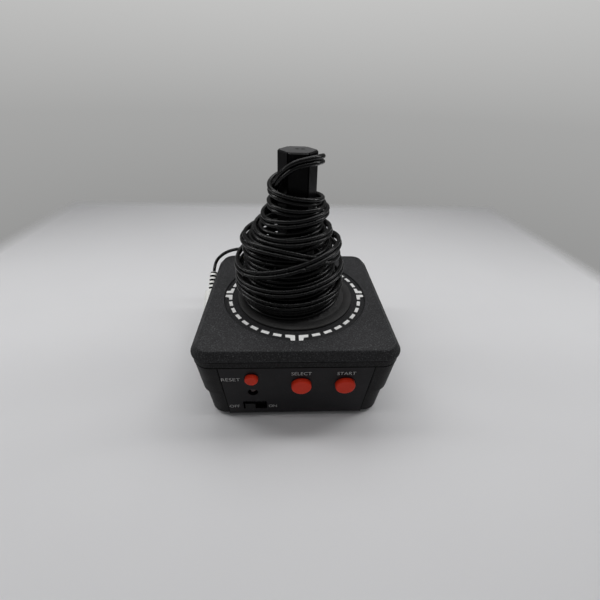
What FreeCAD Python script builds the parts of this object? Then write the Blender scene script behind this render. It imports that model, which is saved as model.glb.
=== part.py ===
import FreeCAD, Part
import math
import os
import Sketcher

# Plug and play game controller: a square battery base with a tilting stick,
# four push buttons, a slide switch and a twin lead wound round the stick.
# Millimetres, +Z up, origin at the middle of the base's underside,
# the button panel faces -Y.

os.makedirs("parts", exist_ok=True)
doc = FreeCAD.newDocument("controller")
sheet = doc.addObject("Spreadsheet::Sheet", "Sizes")
Vector = FreeCAD.Vector


class Size:
    """A length: its number now, and the words that tie a feature to the sheet."""

    def __init__(self, number, words):
        self.number = float(number)
        self.words = words

    def mix(self, sign, other, first=True):
        if not isinstance(other, Size):
            other = Size(other, repr(float(other)))
        left, right = (self, other) if first else (other, self)
        results = {
            "+": left.number + right.number,
            "-": left.number - right.number,
            "*": left.number * right.number,
        }
        if sign == "/":
            return Size(left.number / right.number, f"({left.words} / {right.words})")
        return Size(results[sign], f"({left.words} {sign} {right.words})")

    def __add__(self, other):
        return self.mix("+", other)

    def __radd__(self, other):
        return self.mix("+", other, False)

    def __sub__(self, other):
        return self.mix("-", other)

    def __rsub__(self, other):
        return self.mix("-", other, False)

    def __mul__(self, other):
        return self.mix("*", other)

    def __rmul__(self, other):
        return self.mix("*", other, False)

    def __truediv__(self, other):
        return self.mix("/", other)

    def __neg__(self):
        return self.mix("*", -1)

    def __float__(self):
        return self.number


def size(name, number):
    """Write one driving dimension into the sheet and hand it back."""
    size.row += 1
    cell = f"A{size.row}"
    sheet.set(cell, str(number))
    sheet.setAlias(cell, name)
    return Size(number, f"Sizes.{name}")


size.row = 0


def fixed(number):
    return number if isinstance(number, Size) else Size(number, repr(float(number)))


# Base, outside
cover_width = size("cover_width", 105)
cover_corner = size("cover_corner", 10)
base_height = size("base_height", 51.5)
bevel_inset = size("bevel_inset", 3.3)
bevel_drop = size("bevel_drop", 3.6)
rim_height = size("rim_height", 0.9)
groove_height = size("groove_height", 0.6)
groove_depth = size("groove_depth", 1.0)
strip_height = size("strip_height", 3.9)
strip_inset = size("strip_inset", 0.5)
case_inset = size("case_inset", 0.9)
case_corner = size("case_corner", 9)
draft_slope = size("draft_slope", 0.068)
step_level = size("step_level", 22)
step_depth = size("step_depth", 0.9)
foot_height = size("foot_height", 1.2)
bottom_bevel = size("bottom_bevel", 1.6)
crease_round = size("crease_round", 0.8)

# Base, walls and clearances
plate_wall = size("plate_wall", 2.2)
cover_wall = size("cover_wall", 2.2)
case_wall = size("case_wall", 3.2)
floor_wall = size("floor_wall", 2.2)
tongue_height = size("tongue_height", 1.8)
seam_gap = size("seam_gap", 0.15)
free_gap = size("free_gap", 0.3)
overcut = size("overcut", 1)

# Round track, marks and boot seat in the top plate
flange_margin = size("flange_margin", 8.2)
seat_depth = size("seat_depth", 1.2)
track_margin = size("track_margin", 10.3)
track_depth = size("track_depth", 0.8)
track_slope = size("track_slope", 0.5)
mark_margin = size("mark_margin", 3.8)
mark_width = size("mark_width", 1.8)
mark_length = size("mark_length", 4.3)
mark_bar = size("mark_bar", 4.9)
mark_foot_width = size("mark_foot_width", 2.1)
mark_height = size("mark_height", 0.25)
mark_gap = size("mark_gap", 1.9)
dashes_per_quarter = 7
dash_pitch = 10
boot_hole_radius = size("boot_hole_radius", 23.8)

# Rubber boot
flange_proud = size("flange_proud", 0.5)
cone_foot_radius = size("cone_foot_radius", 25.5)
cone_rise = size("cone_rise", 12.5)
collar_radius = size("collar_radius", 12.4)
collar_height = size("collar_height", 3.5)
boot_wall = size("boot_wall", 1.3)
boot_snap = size("boot_snap", 0.8)
rib_count = 24
rib_width = size("rib_width", 1.1)
rib_height = size("rib_height", 0.9)

# Stick
stick_height = size("stick_height", 79.8)
grip_lift = size("grip_lift", 1.5)
grip_top_radius = size("grip_top_radius", 9.7)
grip_foot_radius = size("grip_foot_radius", 10.6)
flute_width = size("flute_width", 0.9)
flute_depth = size("flute_depth", 0.6)
grip_round = size("grip_round", 0.7)
core_radius = size("core_radius", 5.5)
core_gap = size("core_gap", 0.05)
core_inset = size("core_inset", 5.15)
neck_radius = size("neck_radius", 3.8)
ball_radius = size("ball_radius", 6.5)
pivot_drop = size("pivot_drop", 10)
ring_wall = size("ring_wall", 2.2)
ring_half_height = size("ring_half_height", 4.4)
hub_wall = size("hub_wall", 4.5)
hub_half_height = size("hub_half_height", 5)
holder_radius = size("holder_radius", 32)
holder_wall = size("holder_wall", 2)
holder_drop = size("holder_drop", 2.8)
arm_reach = size("arm_reach", 13.5)
arm_width = size("arm_width", 5)
arm_height = size("arm_height", 2)
arm_share = 0.36
arm_hub_radius = size("arm_hub_radius", 7)

# Boards and switches
board_wall = size("board_wall", 1.6)
board_share = 0.2
board_margin = size("board_margin", 14.5)
board_front_margin = size("board_front_margin", 18.5)
key_width = size("key_width", 6)
key_height = size("key_height", 2.9)
plunger_radius = size("plunger_radius", 1.7)
plunger_height = size("plunger_height", 0.5)
key_radius = size("key_radius", 12)

# Front panel, its buttons, lamp and switch
panel_margin = size("panel_margin", 12.4)
panel_taper = size("panel_taper", 2.2)
panel_wall = size("panel_wall", 2.4)
panel_post_inset = size("panel_post_inset", 2.5)
panel_post_low = size("panel_post_low", 8)
panel_post_drop = size("panel_post_drop", 5.5)
post_radius = size("post_radius", 2)
peg_radius = size("peg_radius", 0.9)
peg_end = size("peg_end", 0.4)
panel_board_depth = size("panel_board_depth", 9.6)
panel_board_gap = size("panel_board_gap", 1.3)
panel_board_low = size("panel_board_low", 5)
panel_board_drop = size("panel_board_drop", 2.5)
large_button_radius = size("large_button_radius", 5.2)
small_button_radius = size("small_button_radius", 3.4)
button_gap = size("button_gap", 0.2)
button_flange = size("button_flange", 1.1)
button_proud = size("button_proud", 1.45)
flange_wall = size("flange_wall", 1.2)
flange_depth = size("flange_depth", 4.1)
button_stem_radius = size("button_stem_radius", 2.2)
button_round = size("button_round", 1.0)
dome_foot_radius = size("dome_foot_radius", 3.9)
dome_top_radius = size("dome_top_radius", 2.6)
dome_height = size("dome_height", 2.4)
reset_inset = size("reset_inset", 16.3)
reset_drop = size("reset_drop", 8.3)
select_x = size("select_x", 2.4)
start_inset = size("start_inset", 14)
large_button_drop = size("large_button_drop", 13.9)
lamp_drop = size("lamp_drop", 19.9)
lamp_radius = size("lamp_radius", 2.5)
lamp_depth = size("lamp_depth", 2.2)
lamp_round = size("lamp_round", 2.2)
slot_inset = size("slot_inset", 16.8)
slot_z = size("slot_z", 10.6)
slot_width = size("slot_width", 12.8)
slot_height = size("slot_height", 6.8)
knob_width = size("knob_width", 5.4)
knob_height = size("knob_height", 4.6)
knob_travel = size("knob_travel", 5)
knob_depth = size("knob_depth", 1.2)
slider_depth = size("slider_depth", 5.1)
slider_wall = size("slider_wall", 0.9)
slider_half = size("slider_half", 7.5)
switch_depth = size("switch_depth", 3.3)

# Fire button in the rear left corner of the cover
fire_side_margin = size("fire_side_margin", 22.5)
fire_rear_margin = size("fire_rear_margin", 13.5)
fire_radius = size("fire_radius", 6)
fire_proud = size("fire_proud", 2.8)
fire_flange = size("fire_flange", 1.2)
fire_flange_wall = size("fire_flange_wall", 1.5)
fire_travel = size("fire_travel", 1.5)
fire_board_drop = size("fire_board_drop", 11.3)
fire_post_offset = size("fire_post_offset", 9.4)
fire_post_radius = size("fire_post_radius", 1.8)
fire_stem_radius = size("fire_stem_radius", 1.6)
fire_board_left = size("fire_board_left", 8)
fire_board_right = size("fire_board_right", 12)
fire_board_front = size("fire_board_front", 11.5)
fire_board_rear = size("fire_board_rear", 6)
spring_radius = size("spring_radius", 5.2)
spring_wire = size("spring_wire", 0.5)

# Battery bay and cells
cell_radius = size("cell_radius", 7.1)
cell_length = size("cell_length", 49)
cell_nub_radius = size("cell_nub_radius", 2.7)
cell_nub_length = size("cell_nub_length", 1.3)
cell_pitch = size("cell_pitch", 14.6)
spring_length = size("spring_length", 4.8)
contact_spring_radius = size("contact_spring_radius", 3.4)
contact_wall = size("contact_wall", 0.5)
contact_half = size("contact_half", 5.5)
bay_wall = size("bay_wall", 2)
door_wall = size("door_wall", 1.4)
door_lap = size("door_lap", 1.5)
door_tab_width = size("door_tab_width", 12)
door_tab_length = size("door_tab_length", 9)
door_screw_reach = size("door_screw_reach", 4.75)
countersink = size("countersink", 1.2)

# Screws and feet
boss_margin = size("boss_margin", 10.2)
boss_radius = size("boss_radius", 3.5)
boss_joint_drop = size("boss_joint_drop", 1.5)
head_radius = size("head_radius", 2.6)
head_height = size("head_height", 1.8)
screw_radius = size("screw_radius", 1.25)
screw_gap = size("screw_gap", 0.05)
screw_bite = size("screw_bite", 6)
door_boss_height = size("door_boss_height", 8)
case_screw_grip = size("case_screw_grip", 7)
holder_screw_circle = size("holder_screw_circle", 28.4)
foot_radius = size("foot_radius", 5)
foot_door_gap = size("foot_door_gap", 2.4)
foot_end_margin = size("foot_end_margin", 24.5)
foot_recess = size("foot_recess", 0.8)

# Lead, plugs and grommet
strand_width = size("strand_width", 2.2)
pair_pitch = size("pair_pitch", 2.7)
layer_pitch = size("layer_pitch", 2.9)
strand_spread = size("strand_spread", 1.6)
straight_run = size("straight_run", 8)
winding_foot_rise = size("winding_foot_rise", 5)
winding_head_rise = size("winding_head_rise", 60)
winding_foot_radius = size("winding_foot_radius", 27.2)
winding_head_radius = size("winding_head_radius", 11.6)
inner_tilt = size("inner_tilt", 1.3)
outer_tilt = size("outer_tilt", 3.0)
grommet_x = size("grommet_x", 8)
grommet_drop = size("grommet_drop", 12.5)
grommet_half_width = size("grommet_half_width", 4.6)
grommet_half_height = size("grommet_half_height", 2.6)
grommet_rim = size("grommet_rim", 1.6)
relief_radius = size("relief_radius", 2.8)
relief_length = size("relief_length", 15)
relief_ribs = 5
plug_radius = size("plug_radius", 4.8)
plug_length = size("plug_length", 19)
shell_radius = size("shell_radius", 4.1)
shell_wall = size("shell_wall", 0.4)
shell_length = size("shell_length", 8.5)
pin_radius = size("pin_radius", 1.6)
pin_length = size("pin_length", 16)

# Heights and half widths that follow from them
cover_half = cover_width / 2
bevel_low = base_height - bevel_drop
rim_low = bevel_low - rim_height
groove_low = rim_low - groove_height
seam_level = groove_low - strip_height
plate_under = base_height - plate_wall
strip_half = cover_half - strip_inset
cavity_half = strip_half - cover_wall
case_half = cover_half - case_inset
case_low = foot_height
floor_top = case_low + floor_wall
floor_root = floor_top - seam_gap
inner_half = case_half - case_wall
track_radius = cover_half - track_margin
mark_radius = track_radius - mark_margin
flange_radius = track_radius - flange_margin
seat_radius = flange_radius + button_gap
seat_floor = base_height - seat_depth
track_floor = base_height - track_depth
boss_place = cover_half - boss_margin
boss_joint = seam_level - boss_joint_drop
case_head_level = boss_joint - case_screw_grip
foot_y = cover_half - foot_end_margin

# Places inside the base
pivot_level = base_height - pivot_drop
hub_top = pivot_level + hub_half_height
stick_top = base_height + stick_height
grip_bottom = base_height + grip_lift
core_end = stick_top - core_inset
bay_half_x = cell_pitch * 2 + free_gap
bay_half_y = (cell_length + cell_nub_length + spring_length + contact_wall * 2) / 2
door_seat = case_low + door_wall + seam_gap
cell_level = door_seat + free_gap + cell_radius
bay_roof = cell_level + cell_radius + free_gap
bay_top = bay_roof + bay_wall
door_screw_y = -(bay_half_y + door_lap + door_screw_reach)
foot_x = bay_half_x + door_lap + foot_door_gap + foot_radius
board_level = bay_top + (pivot_level - bay_top) * board_share
keys_top = board_level + board_wall + key_height + plunger_height
hub_low = pivot_level - hub_half_height
arm_level = keys_top + (hub_low - keys_top - arm_height) * arm_share
board_half_width = cover_half - board_margin
board_front = cover_half - board_front_margin
board_post_x = bay_half_x - boss_radius
board_post_y = bay_half_y - boss_radius
fire_x = fire_side_margin - cover_half
fire_y = cover_half - fire_rear_margin
fire_board_level = plate_under - fire_board_drop

# Places on the front panel
panel_top_half = case_half - panel_margin
panel_foot_half = panel_top_half - panel_taper
panel_board_half = boss_place - boss_radius - panel_board_gap
panel_board_face = case_half - panel_board_depth
panel_post_x = panel_board_half - panel_post_inset
panel_post_high = seam_level - panel_post_drop
reset_x = reset_inset - panel_top_half
start_x = panel_top_half - start_inset
slot_x = slot_inset - panel_top_half
panel_board_high = seam_level - panel_board_drop
button_face = case_half + button_proud
flange_face = case_half - flange_depth
lamp_tip = case_half - lamp_depth
knob_face = case_half - knob_depth
slider_face = case_half - slider_depth
reset_z = seam_level - reset_drop
large_button_z = seam_level - large_button_drop
lamp_z = seam_level - lamp_drop

# Places of the lead
grommet_z = seam_level - grommet_drop
winding_foot = base_height + winding_foot_rise
winding_head = base_height + winding_head_rise


def wall_half(level):
    """Half width of the drafted outer wall above the step."""
    return case_half - draft_slope * (seam_level - level)


# Helpers for sketches and features

def finish(body, feature):
    body.Tip = feature
    doc.recompute()
    if "Invalid" in feature.State or feature.Shape.isNull():
        raise RuntimeError(f"{feature.Label} of {body.Label} failed")
    return feature


def new_body(label):
    body = doc.addObject("PartDesign::Body", label)
    body.Label = label
    return body


def new_sketch(body, plane="XY_Plane", offset=None):
    sketch = body.newObject("Sketcher::SketchObject", "Sketch")
    for item in body.Origin.OriginFeatures:
        if item.Role == plane:
            sketch.AttachmentSupport = [(item, "")]
    sketch.MapMode = "FlatFace"
    if offset is not None:
        sketch.setExpression("AttachmentOffset.Base.z", fixed(offset).words)
    return sketch


def hold(sketch, kind, geometry, point, length):
    """Tie one point of a sketch to the axes by a size."""
    length = fixed(length)
    if abs(length.number) < 1e-9:
        axis = -2 if kind == "DistanceX" else -1
        sketch.addConstraint(Sketcher.Constraint("PointOnObject", geometry, point, axis))
        return
    if length.number > 0:
        row = sketch.addConstraint(Sketcher.Constraint(kind, -1, 1, geometry, point, length.number))
        sketch.setExpression(f"Constraints[{row}]", length.words)
    else:
        row = sketch.addConstraint(Sketcher.Constraint(kind, geometry, point, -1, 1, -length.number))
        sketch.setExpression(f"Constraints[{row}]", (-length).words)


def draw_outline(sketch, corners):
    """Closed outline of straight runs, each corner held by its two sizes."""
    spots = [Vector(float(x), float(y), 0) for x, y in corners]
    lines = []
    for start, end in zip(spots, spots[1:] + spots[:1]):
        lines.append(sketch.addGeometry(Part.LineSegment(start, end), False))
    for line, following in zip(lines, lines[1:] + lines[:1]):
        sketch.addConstraint(Sketcher.Constraint("Coincident", line, 2, following, 1))
    for line, (x, y) in zip(lines, corners):
        hold(sketch, "DistanceX", line, 1, x)
        hold(sketch, "DistanceY", line, 1, y)
    return sketch


def draw_circle(sketch, x, y, radius):
    radius = fixed(radius)
    spot = Vector(float(x), float(y), 0)
    ring = sketch.addGeometry(Part.Circle(spot, Vector(0, 0, 1), radius.number), False)
    hold(sketch, "DistanceX", ring, 3, x)
    hold(sketch, "DistanceY", ring, 3, y)
    row = sketch.addConstraint(Sketcher.Constraint("Radius", ring, radius.number))
    sketch.setExpression(f"Constraints[{row}]", radius.words)
    return sketch


def draw_rectangle(sketch, half_x, half_y, x=0, y=0):
    left, right = fixed(x) - half_x, fixed(x) + half_x
    low, high = fixed(y) - half_y, fixed(y) + half_y
    return draw_outline(sketch, [(left, low), (right, low), (right, high), (left, high)])


def draw_square(sketch, half, corner):
    """Square round the origin with rounded corners."""
    half, corner = fixed(half), fixed(corner)
    flat = half.number - corner.number
    pieces = []
    for quarter in range(4):
        turn = math.radians(90 * quarter)
        ahead = Vector(math.cos(turn), math.sin(turn), 0)
        aside = Vector(-math.sin(turn), math.cos(turn), 0)
        side = Part.LineSegment(ahead * half.number - aside * flat, ahead * half.number + aside * flat)
        centre = (ahead + aside) * flat
        circle = Part.Circle(centre, Vector(0, 0, 1), corner.number)
        bend = Part.ArcOfCircle(circle, turn, turn + math.pi / 2)
        pieces.append(sketch.addGeometry(side, False))
        pieces.append(sketch.addGeometry(bend, False))
    for piece, following in zip(pieces, pieces[1:] + pieces[:1]):
        sketch.addConstraint(Sketcher.Constraint("Tangent", piece, 2, following, 1))
    for side, kind in zip(pieces[0::2], ("Vertical", "Horizontal") * 2):
        sketch.addConstraint(Sketcher.Constraint(kind, side))
    hold(sketch, "DistanceX", pieces[0], 1, half)
    hold(sketch, "DistanceY", pieces[2], 1, half)
    hold(sketch, "DistanceX", pieces[4], 1, -half)
    hold(sketch, "DistanceY", pieces[6], 1, -half)
    row = sketch.addConstraint(Sketcher.Constraint("Radius", pieces[1], corner.number))
    sketch.setExpression(f"Constraints[{row}]", corner.words)
    for bend in pieces[3::2]:
        sketch.addConstraint(Sketcher.Constraint("Equal", pieces[1], bend))
    return sketch


def extrude(body, kind, sketch, length, reverse):
    before = body.Shape.Volume if body.Tip else 0
    feature = body.newObject(f"PartDesign::{kind}", kind)
    feature.Profile = sketch
    feature.setExpression("Length", fixed(length).words)
    feature.Reversed = reverse
    finish(body, feature)
    if abs(body.Shape.Volume - before) < 1e-3:
        raise RuntimeError(f"{kind} of {body.Label} changed nothing")
    return feature


def pad(body, sketch, length, reverse=False):
    return extrude(body, "Pad", sketch, length, reverse)


def pocket(body, sketch, length, reverse=True):
    """A pocket that cuts along the sketch's normal, or against it."""
    return extrude(body, "Pocket", sketch, length, reverse)


def turn_profile(body, sketch, kind="Revolution"):
    """Turn a profile round the sketch's upright axis."""
    before = body.Shape.Volume if body.Tip else 0
    feature = body.newObject(f"PartDesign::{kind}", kind)
    feature.Profile = sketch
    feature.ReferenceAxis = (sketch, ["V_Axis"])
    feature.Angle = 360
    finish(body, feature)
    if abs(body.Shape.Volume - before) < 1e-3:
        raise RuntimeError(f"{kind} of {body.Label} changed nothing")
    return feature


def loft(body, sketches, kind="AdditiveLoft"):
    before = body.Shape.Volume if body.Tip else 0
    feature = body.newObject(f"PartDesign::{kind}", kind)
    feature.Profile = sketches[0]
    feature.Sections = sketches[1:]
    feature.Ruled = True
    finish(body, feature)
    if abs(body.Shape.Volume - before) < 1e-3:
        raise RuntimeError(f"{kind} of {body.Label} changed nothing")
    return feature


def round_edges(body, radius, wanted, kind="Fillet"):
    """Fillet or chamfer the edges that a test picks."""
    base = body.Tip
    names = [f"Edge{n}" for n, edge in enumerate(base.Shape.Edges, 1) if wanted(edge)]
    if not names:
        raise RuntimeError(f"no edge to round on {body.Label}")
    feature = body.newObject(f"PartDesign::{kind}", kind)
    feature.Base = (base, names)
    feature.setExpression("Radius" if kind == "Fillet" else "Size", fixed(radius).words)
    return finish(body, feature)


def at_level(edge, level):
    box = edge.BoundBox
    return abs(box.ZMin - float(level)) < 1e-4 and abs(box.ZMax - float(level)) < 1e-4


def place(item, x, y, z, turn=None):
    """Put a primitive at bound coordinates, turned by a fixed rotation."""
    if turn is not None:
        item.Placement = FreeCAD.Placement(Vector(0, 0, 0), turn)
    for axis, length in zip("xyz", (x, y, z)):
        item.setExpression(f"Placement.Base.{axis}", fixed(length).words)
    return item


FRONTWARD = FreeCAD.Rotation(Vector(1, 0, 0), 90)
REARWARD = FreeCAD.Rotation(Vector(1, 0, 0), -90)


def rod(label, radius, length, x, y, z, turn=None):
    item = doc.addObject("Part::Cylinder", label)
    item.setExpression("Radius", fixed(radius).words)
    item.setExpression("Height", fixed(length).words)
    return place(item, x, y, z, turn)


def cone(label, radius, end_radius, length, x, y, z, turn=None):
    item = doc.addObject("Part::Cone", label)
    item.setExpression("Radius1", fixed(radius).words)
    item.setExpression("Radius2", fixed(end_radius).words)
    item.setExpression("Height", fixed(length).words)
    return place(item, x, y, z, turn)


def block(label, x_low, x_high, y_low, y_high, z_low, z_high):
    item = doc.addObject("Part::Box", label)
    item.setExpression("Length", (fixed(x_high) - x_low).words)
    item.setExpression("Width", (fixed(y_high) - y_low).words)
    item.setExpression("Height", (fixed(z_high) - z_low).words)
    return place(item, x_low, y_low, z_low)


def fuse(label, *items):
    item = doc.addObject("Part::MultiFuse", label)
    item.Shapes = list(items)
    item.Refine = True
    return item


def cut(label, base, *tools):
    item = doc.addObject("Part::Cut", label)
    item.Base = base
    item.Tool = tools[0] if len(tools) == 1 else fuse(label + "_tools", *tools)
    return item


def group(label, *items):
    """Separate solids of one kind, kept together under one name."""
    item = doc.addObject("Part::Compound", label)
    item.Links = list(items)
    return item


def corners_of(half_x, half_y):
    return [(half_x * a, half_y * b) for a, b in ((1, 1), (-1, 1), (-1, -1), (1, -1))]


nodes = []


def node(item):
    """Keep an object as a named piece of the controller."""
    nodes.append(item)
    return item


# Top cover

def make_top_cover():
    body = new_body("top_cover")
    pad(body, draw_square(new_sketch(body, offset=seam_level), strip_half, cover_corner), strip_height)
    groove_half = cover_half - groove_depth
    pad(body, draw_square(new_sketch(body, offset=groove_low), groove_half, cover_corner), groove_height)
    pad(body, draw_square(new_sketch(body, offset=rim_low), cover_half, cover_corner), rim_height)
    wide = draw_square(new_sketch(body, offset=bevel_low), cover_half, cover_corner)
    narrow_corner = cover_corner - bevel_inset
    narrow = draw_square(new_sketch(body, offset=base_height), cover_half - bevel_inset, narrow_corner)
    loft(body, [wide, narrow])
    round_edges(body, crease_round, lambda edge: at_level(edge, base_height))
    cavity_corner = cover_corner - cover_wall
    cavity = draw_square(new_sketch(body, offset=seam_level), cavity_half, cavity_corner)
    pocket(body, cavity, plate_under - seam_level)
    # track for the marks, with a sloping outer wall, and the seat of the boot
    track = draw_outline(new_sketch(body, "XZ_Plane"), [
        (seat_radius - seam_gap, track_floor),
        (track_radius - track_slope, track_floor),
        (track_radius, base_height),
        (track_radius, base_height + free_gap),
        (seat_radius - seam_gap, base_height + free_gap),
    ])
    turn_profile(body, track, "Groove")
    pocket(body, draw_circle(new_sketch(body, offset=seat_floor), 0, 0, seat_radius), seat_depth)
    pocket(body, draw_circle(new_sketch(body, offset=plate_under), 0, 0, boot_hole_radius), plate_wall)
    fire_hole = draw_circle(new_sketch(body, offset=plate_under), fire_x, fire_y, fire_radius + button_gap)
    pocket(body, fire_hole, plate_wall)
    # bosses under the plate: case screws, pivot holder, fire board
    bosses = new_sketch(body, offset=boss_joint)
    holes = new_sketch(body, offset=boss_joint)
    for x, y in corners_of(boss_place, boss_place):
        draw_circle(bosses, x, y, boss_radius)
        draw_circle(holes, x, y, screw_radius + screw_gap)
    pad(body, bosses, plate_under - boss_joint)
    pocket(body, holes, screw_bite + free_gap)
    bosses = new_sketch(body, offset=plate_under - holder_drop)
    holes = new_sketch(body, offset=plate_under - holder_drop)
    for x, y in holder_screw_places():
        draw_circle(bosses, x, y, boss_radius - free_gap)
        draw_circle(holes, x, y, screw_radius + screw_gap)
    pad(body, bosses, holder_drop)
    pocket(body, holes, holder_drop)
    posts = new_sketch(body, offset=fire_board_level + board_wall)
    pegs = new_sketch(body, offset=fire_board_level - peg_end)
    for x, y in fire_post_places():
        draw_circle(posts, x, y, fire_post_radius)
        draw_circle(pegs, x, y, peg_radius)
    pad(body, posts, plate_under - fire_board_level - board_wall)
    pad(body, pegs, board_wall + peg_end)
    return node(body)


def holder_screw_places():
    """Three screws of the pivot holder, evenly round the stick."""
    places = []
    for step in range(3):
        turn = math.radians(90 + 120 * step)
        across, along = round(math.cos(turn), 6), round(math.sin(turn), 6)
        places.append((holder_screw_circle * across, holder_screw_circle * along))
    return places


def fire_post_places():
    return [(fire_x + fire_post_offset, fire_y), (fire_x, fire_y - fire_post_offset)]


# White marks in the round track: dashes, and a pair of L shapes on each axis

def make_ring_marks():
    radius, width, length = float(mark_radius), float(mark_width), float(mark_length)
    floor, height = float(track_floor), float(mark_height)
    gap = float(mark_gap)
    foot_width, bar = float(mark_foot_width), float(mark_bar)
    track_edge = float(track_radius - track_slope - seam_gap)
    reach = math.sqrt(track_edge ** 2 - (gap / 2 + foot_width) ** 2)
    pieces = []
    inner = radius - width / 2
    for quarter in range(4):
        for step in range(dashes_per_quarter):
            turn = 90 * (quarter + 0.5) + dash_pitch * (step - (dashes_per_quarter - 1) / 2)
            dash = Part.makeBox(width, length, height, Vector(inner, -length / 2, floor))
            pieces.append(dash.rotate(Vector(0, 0, 0), Vector(0, 0, 1), turn))
        for side in (-1, 1):
            # the bar runs along the circle, the foot turns outward beside the gap
            near, far = gap / 2, gap / 2 + bar
            outer = inner + width
            corners = [
                (inner, near),
                (reach, near),
                (reach, near + foot_width),
                (outer, near + foot_width + gap / 4),
                (math.sqrt(outer ** 2 - far ** 2), far),
                (math.sqrt(inner ** 2 - far ** 2), far),
            ]
            spots = [Vector(x, side * y, floor) for x, y in corners]
            face = Part.Face(Part.makePolygon(spots + spots[:1]))
            mark = face.extrude(Vector(0, 0, height))
            pieces.append(mark.rotate(Vector(0, 0, 0), Vector(0, 0, 1), 90 * quarter))
    item = doc.addObject("Part::Feature", "ring_marks")
    item.Shape = Part.makeCompound(pieces)
    return node(item)


# Bottom case: drafted tub with a step, a battery bay, pillars and posts

def make_bottom_case():
    body = new_body("bottom_case")
    step_half = wall_half(step_level)
    low_half = step_half - step_depth
    toe_level = case_low + bottom_bevel
    toe_half = low_half - draft_slope * (step_level - toe_level)
    toe_corner = case_corner - bottom_bevel
    loft(body, [
        draw_square(new_sketch(body, offset=case_low), toe_half - bottom_bevel, toe_corner),
        draw_square(new_sketch(body, offset=toe_level), toe_half, case_corner),
        draw_square(new_sketch(body, offset=step_level), low_half, case_corner),
    ])
    loft(body, [
        draw_square(new_sketch(body, offset=step_level), step_half, case_corner),
        draw_square(new_sketch(body, offset=seam_level), case_half, case_corner),
    ])
    tongue_half = cavity_half - seam_gap
    tongue_corner = cover_corner - cover_wall
    tongue = draw_square(new_sketch(body, offset=seam_level), tongue_half, tongue_corner)
    pad(body, tongue, tongue_height)
    inner_corner = case_corner - case_wall
    inner_low_half = inner_half - draft_slope * (seam_level - floor_top)
    loft(body, [
        draw_square(new_sketch(body, offset=floor_top), inner_low_half, inner_corner),
        draw_square(new_sketch(body, offset=seam_level), inner_half, inner_corner),
    ], "SubtractiveLoft")
    pocket(body, draw_square(new_sketch(body, offset=seam_level), inner_half, inner_corner), tongue_height)
    # battery bay
    bay_outside = new_sketch(body, offset=floor_root)
    draw_rectangle(bay_outside, bay_half_x + bay_wall, bay_half_y + bay_wall)
    pad(body, bay_outside, bay_top - floor_root)
    bay_inside = draw_rectangle(new_sketch(body, offset=door_seat), bay_half_x, bay_half_y)
    pocket(body, bay_inside, bay_roof - door_seat)
    pocket(body, door_outline(new_sketch(body, offset=case_low), seam_gap), door_wall + seam_gap)
    # front opening for the panel, deeper above the floor so that none of the wall stays behind it
    for low, back in (
        (case_low - overcut, wall_half(case_low) - panel_wall - free_gap),
        (floor_top, inner_low_half - free_gap),
    ):
        opening = draw_outline(new_sketch(body, "XZ_Plane", back), [
            (-panel_foot_half - seam_gap, low),
            (panel_foot_half + seam_gap, low),
            (panel_top_half + seam_gap, seam_level),
            (panel_top_half + seam_gap, seam_level + tongue_height + overcut),
            (-panel_top_half - seam_gap, seam_level + tongue_height + overcut),
            (-panel_top_half - seam_gap, seam_level),
        ])
        pocket(body, opening, case_wall * 3)
    # pillars for the case screws, board posts and the door screw's boss
    pillars = new_sketch(body, offset=floor_root)
    bores = new_sketch(body, offset=case_low)
    shanks = new_sketch(body, offset=case_head_level)
    for x, y in corners_of(boss_place, boss_place):
        draw_circle(pillars, x, y, boss_radius)
        draw_circle(bores, x, y, head_radius + button_gap)
        draw_circle(shanks, x, y, screw_radius + button_gap)
    pad(body, pillars, boss_joint - floor_root)
    pocket(body, bores, case_head_level - case_low)
    pocket(body, shanks, boss_joint - case_head_level)
    posts = new_sketch(body, offset=bay_top)
    holes = new_sketch(body, offset=board_level)
    for x, y in corners_of(board_post_x, board_post_y):
        draw_circle(posts, x, y, boss_radius - free_gap)
        draw_circle(holes, x, y, screw_radius + screw_gap)
    pad(body, posts, board_level - bay_top)
    pocket(body, holes, screw_bite - board_wall, reverse=False)
    door_boss = draw_circle(new_sketch(body, offset=floor_top), 0, door_screw_y, boss_radius)
    pad(body, door_boss, door_boss_height)
    door_hole = draw_circle(new_sketch(body, offset=case_low), 0, door_screw_y, screw_radius + screw_gap)
    pocket(body, door_hole, floor_wall + screw_bite)
    feet = new_sketch(body, offset=case_low)
    for x, y in corners_of(foot_x, foot_y):
        draw_circle(feet, x, y, foot_radius + button_gap)
    pocket(body, feet, foot_recess)
    exit_hole = new_sketch(body, "XZ_Plane", case_wall - inner_half)
    draw_rectangle(exit_hole, grommet_half_width, grommet_half_height, grommet_x, grommet_z)
    pocket(body, exit_hole, case_wall * 3, reverse=False)
    return node(body)


def door_outline(sketch, gap):
    """Battery door seen from below, with the screw's tab on its front edge."""
    half_x = bay_half_x + door_lap + gap
    half_y = bay_half_y + door_lap + gap
    tab = door_tab_width / 2 + gap
    front = half_y + door_tab_length
    return draw_outline(sketch, [
        (-half_x, half_y),
        (-half_x, -half_y),
        (-tab, -half_y),
        (-tab, -front),
        (tab, -front),
        (tab, -half_y),
        (half_x, -half_y),
        (half_x, half_y),
    ])


def make_battery_door():
    body = new_body("battery_door")
    pad(body, door_outline(new_sketch(body, offset=case_low), Size(0, "0")), door_wall)
    hole_radius = screw_radius + button_gap
    hole = draw_circle(new_sketch(body, offset=case_low), 0, door_screw_y, hole_radius)
    pocket(body, hole, door_wall)
    round_edges(body, countersink, lambda edge: at_level(edge, case_low) and
                abs(edge.BoundBox.XLength - 2 * float(hole_radius)) < 1e-3, "Chamfer")
    return node(body)


# Front panel with its openings and the posts that carry the button board

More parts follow.
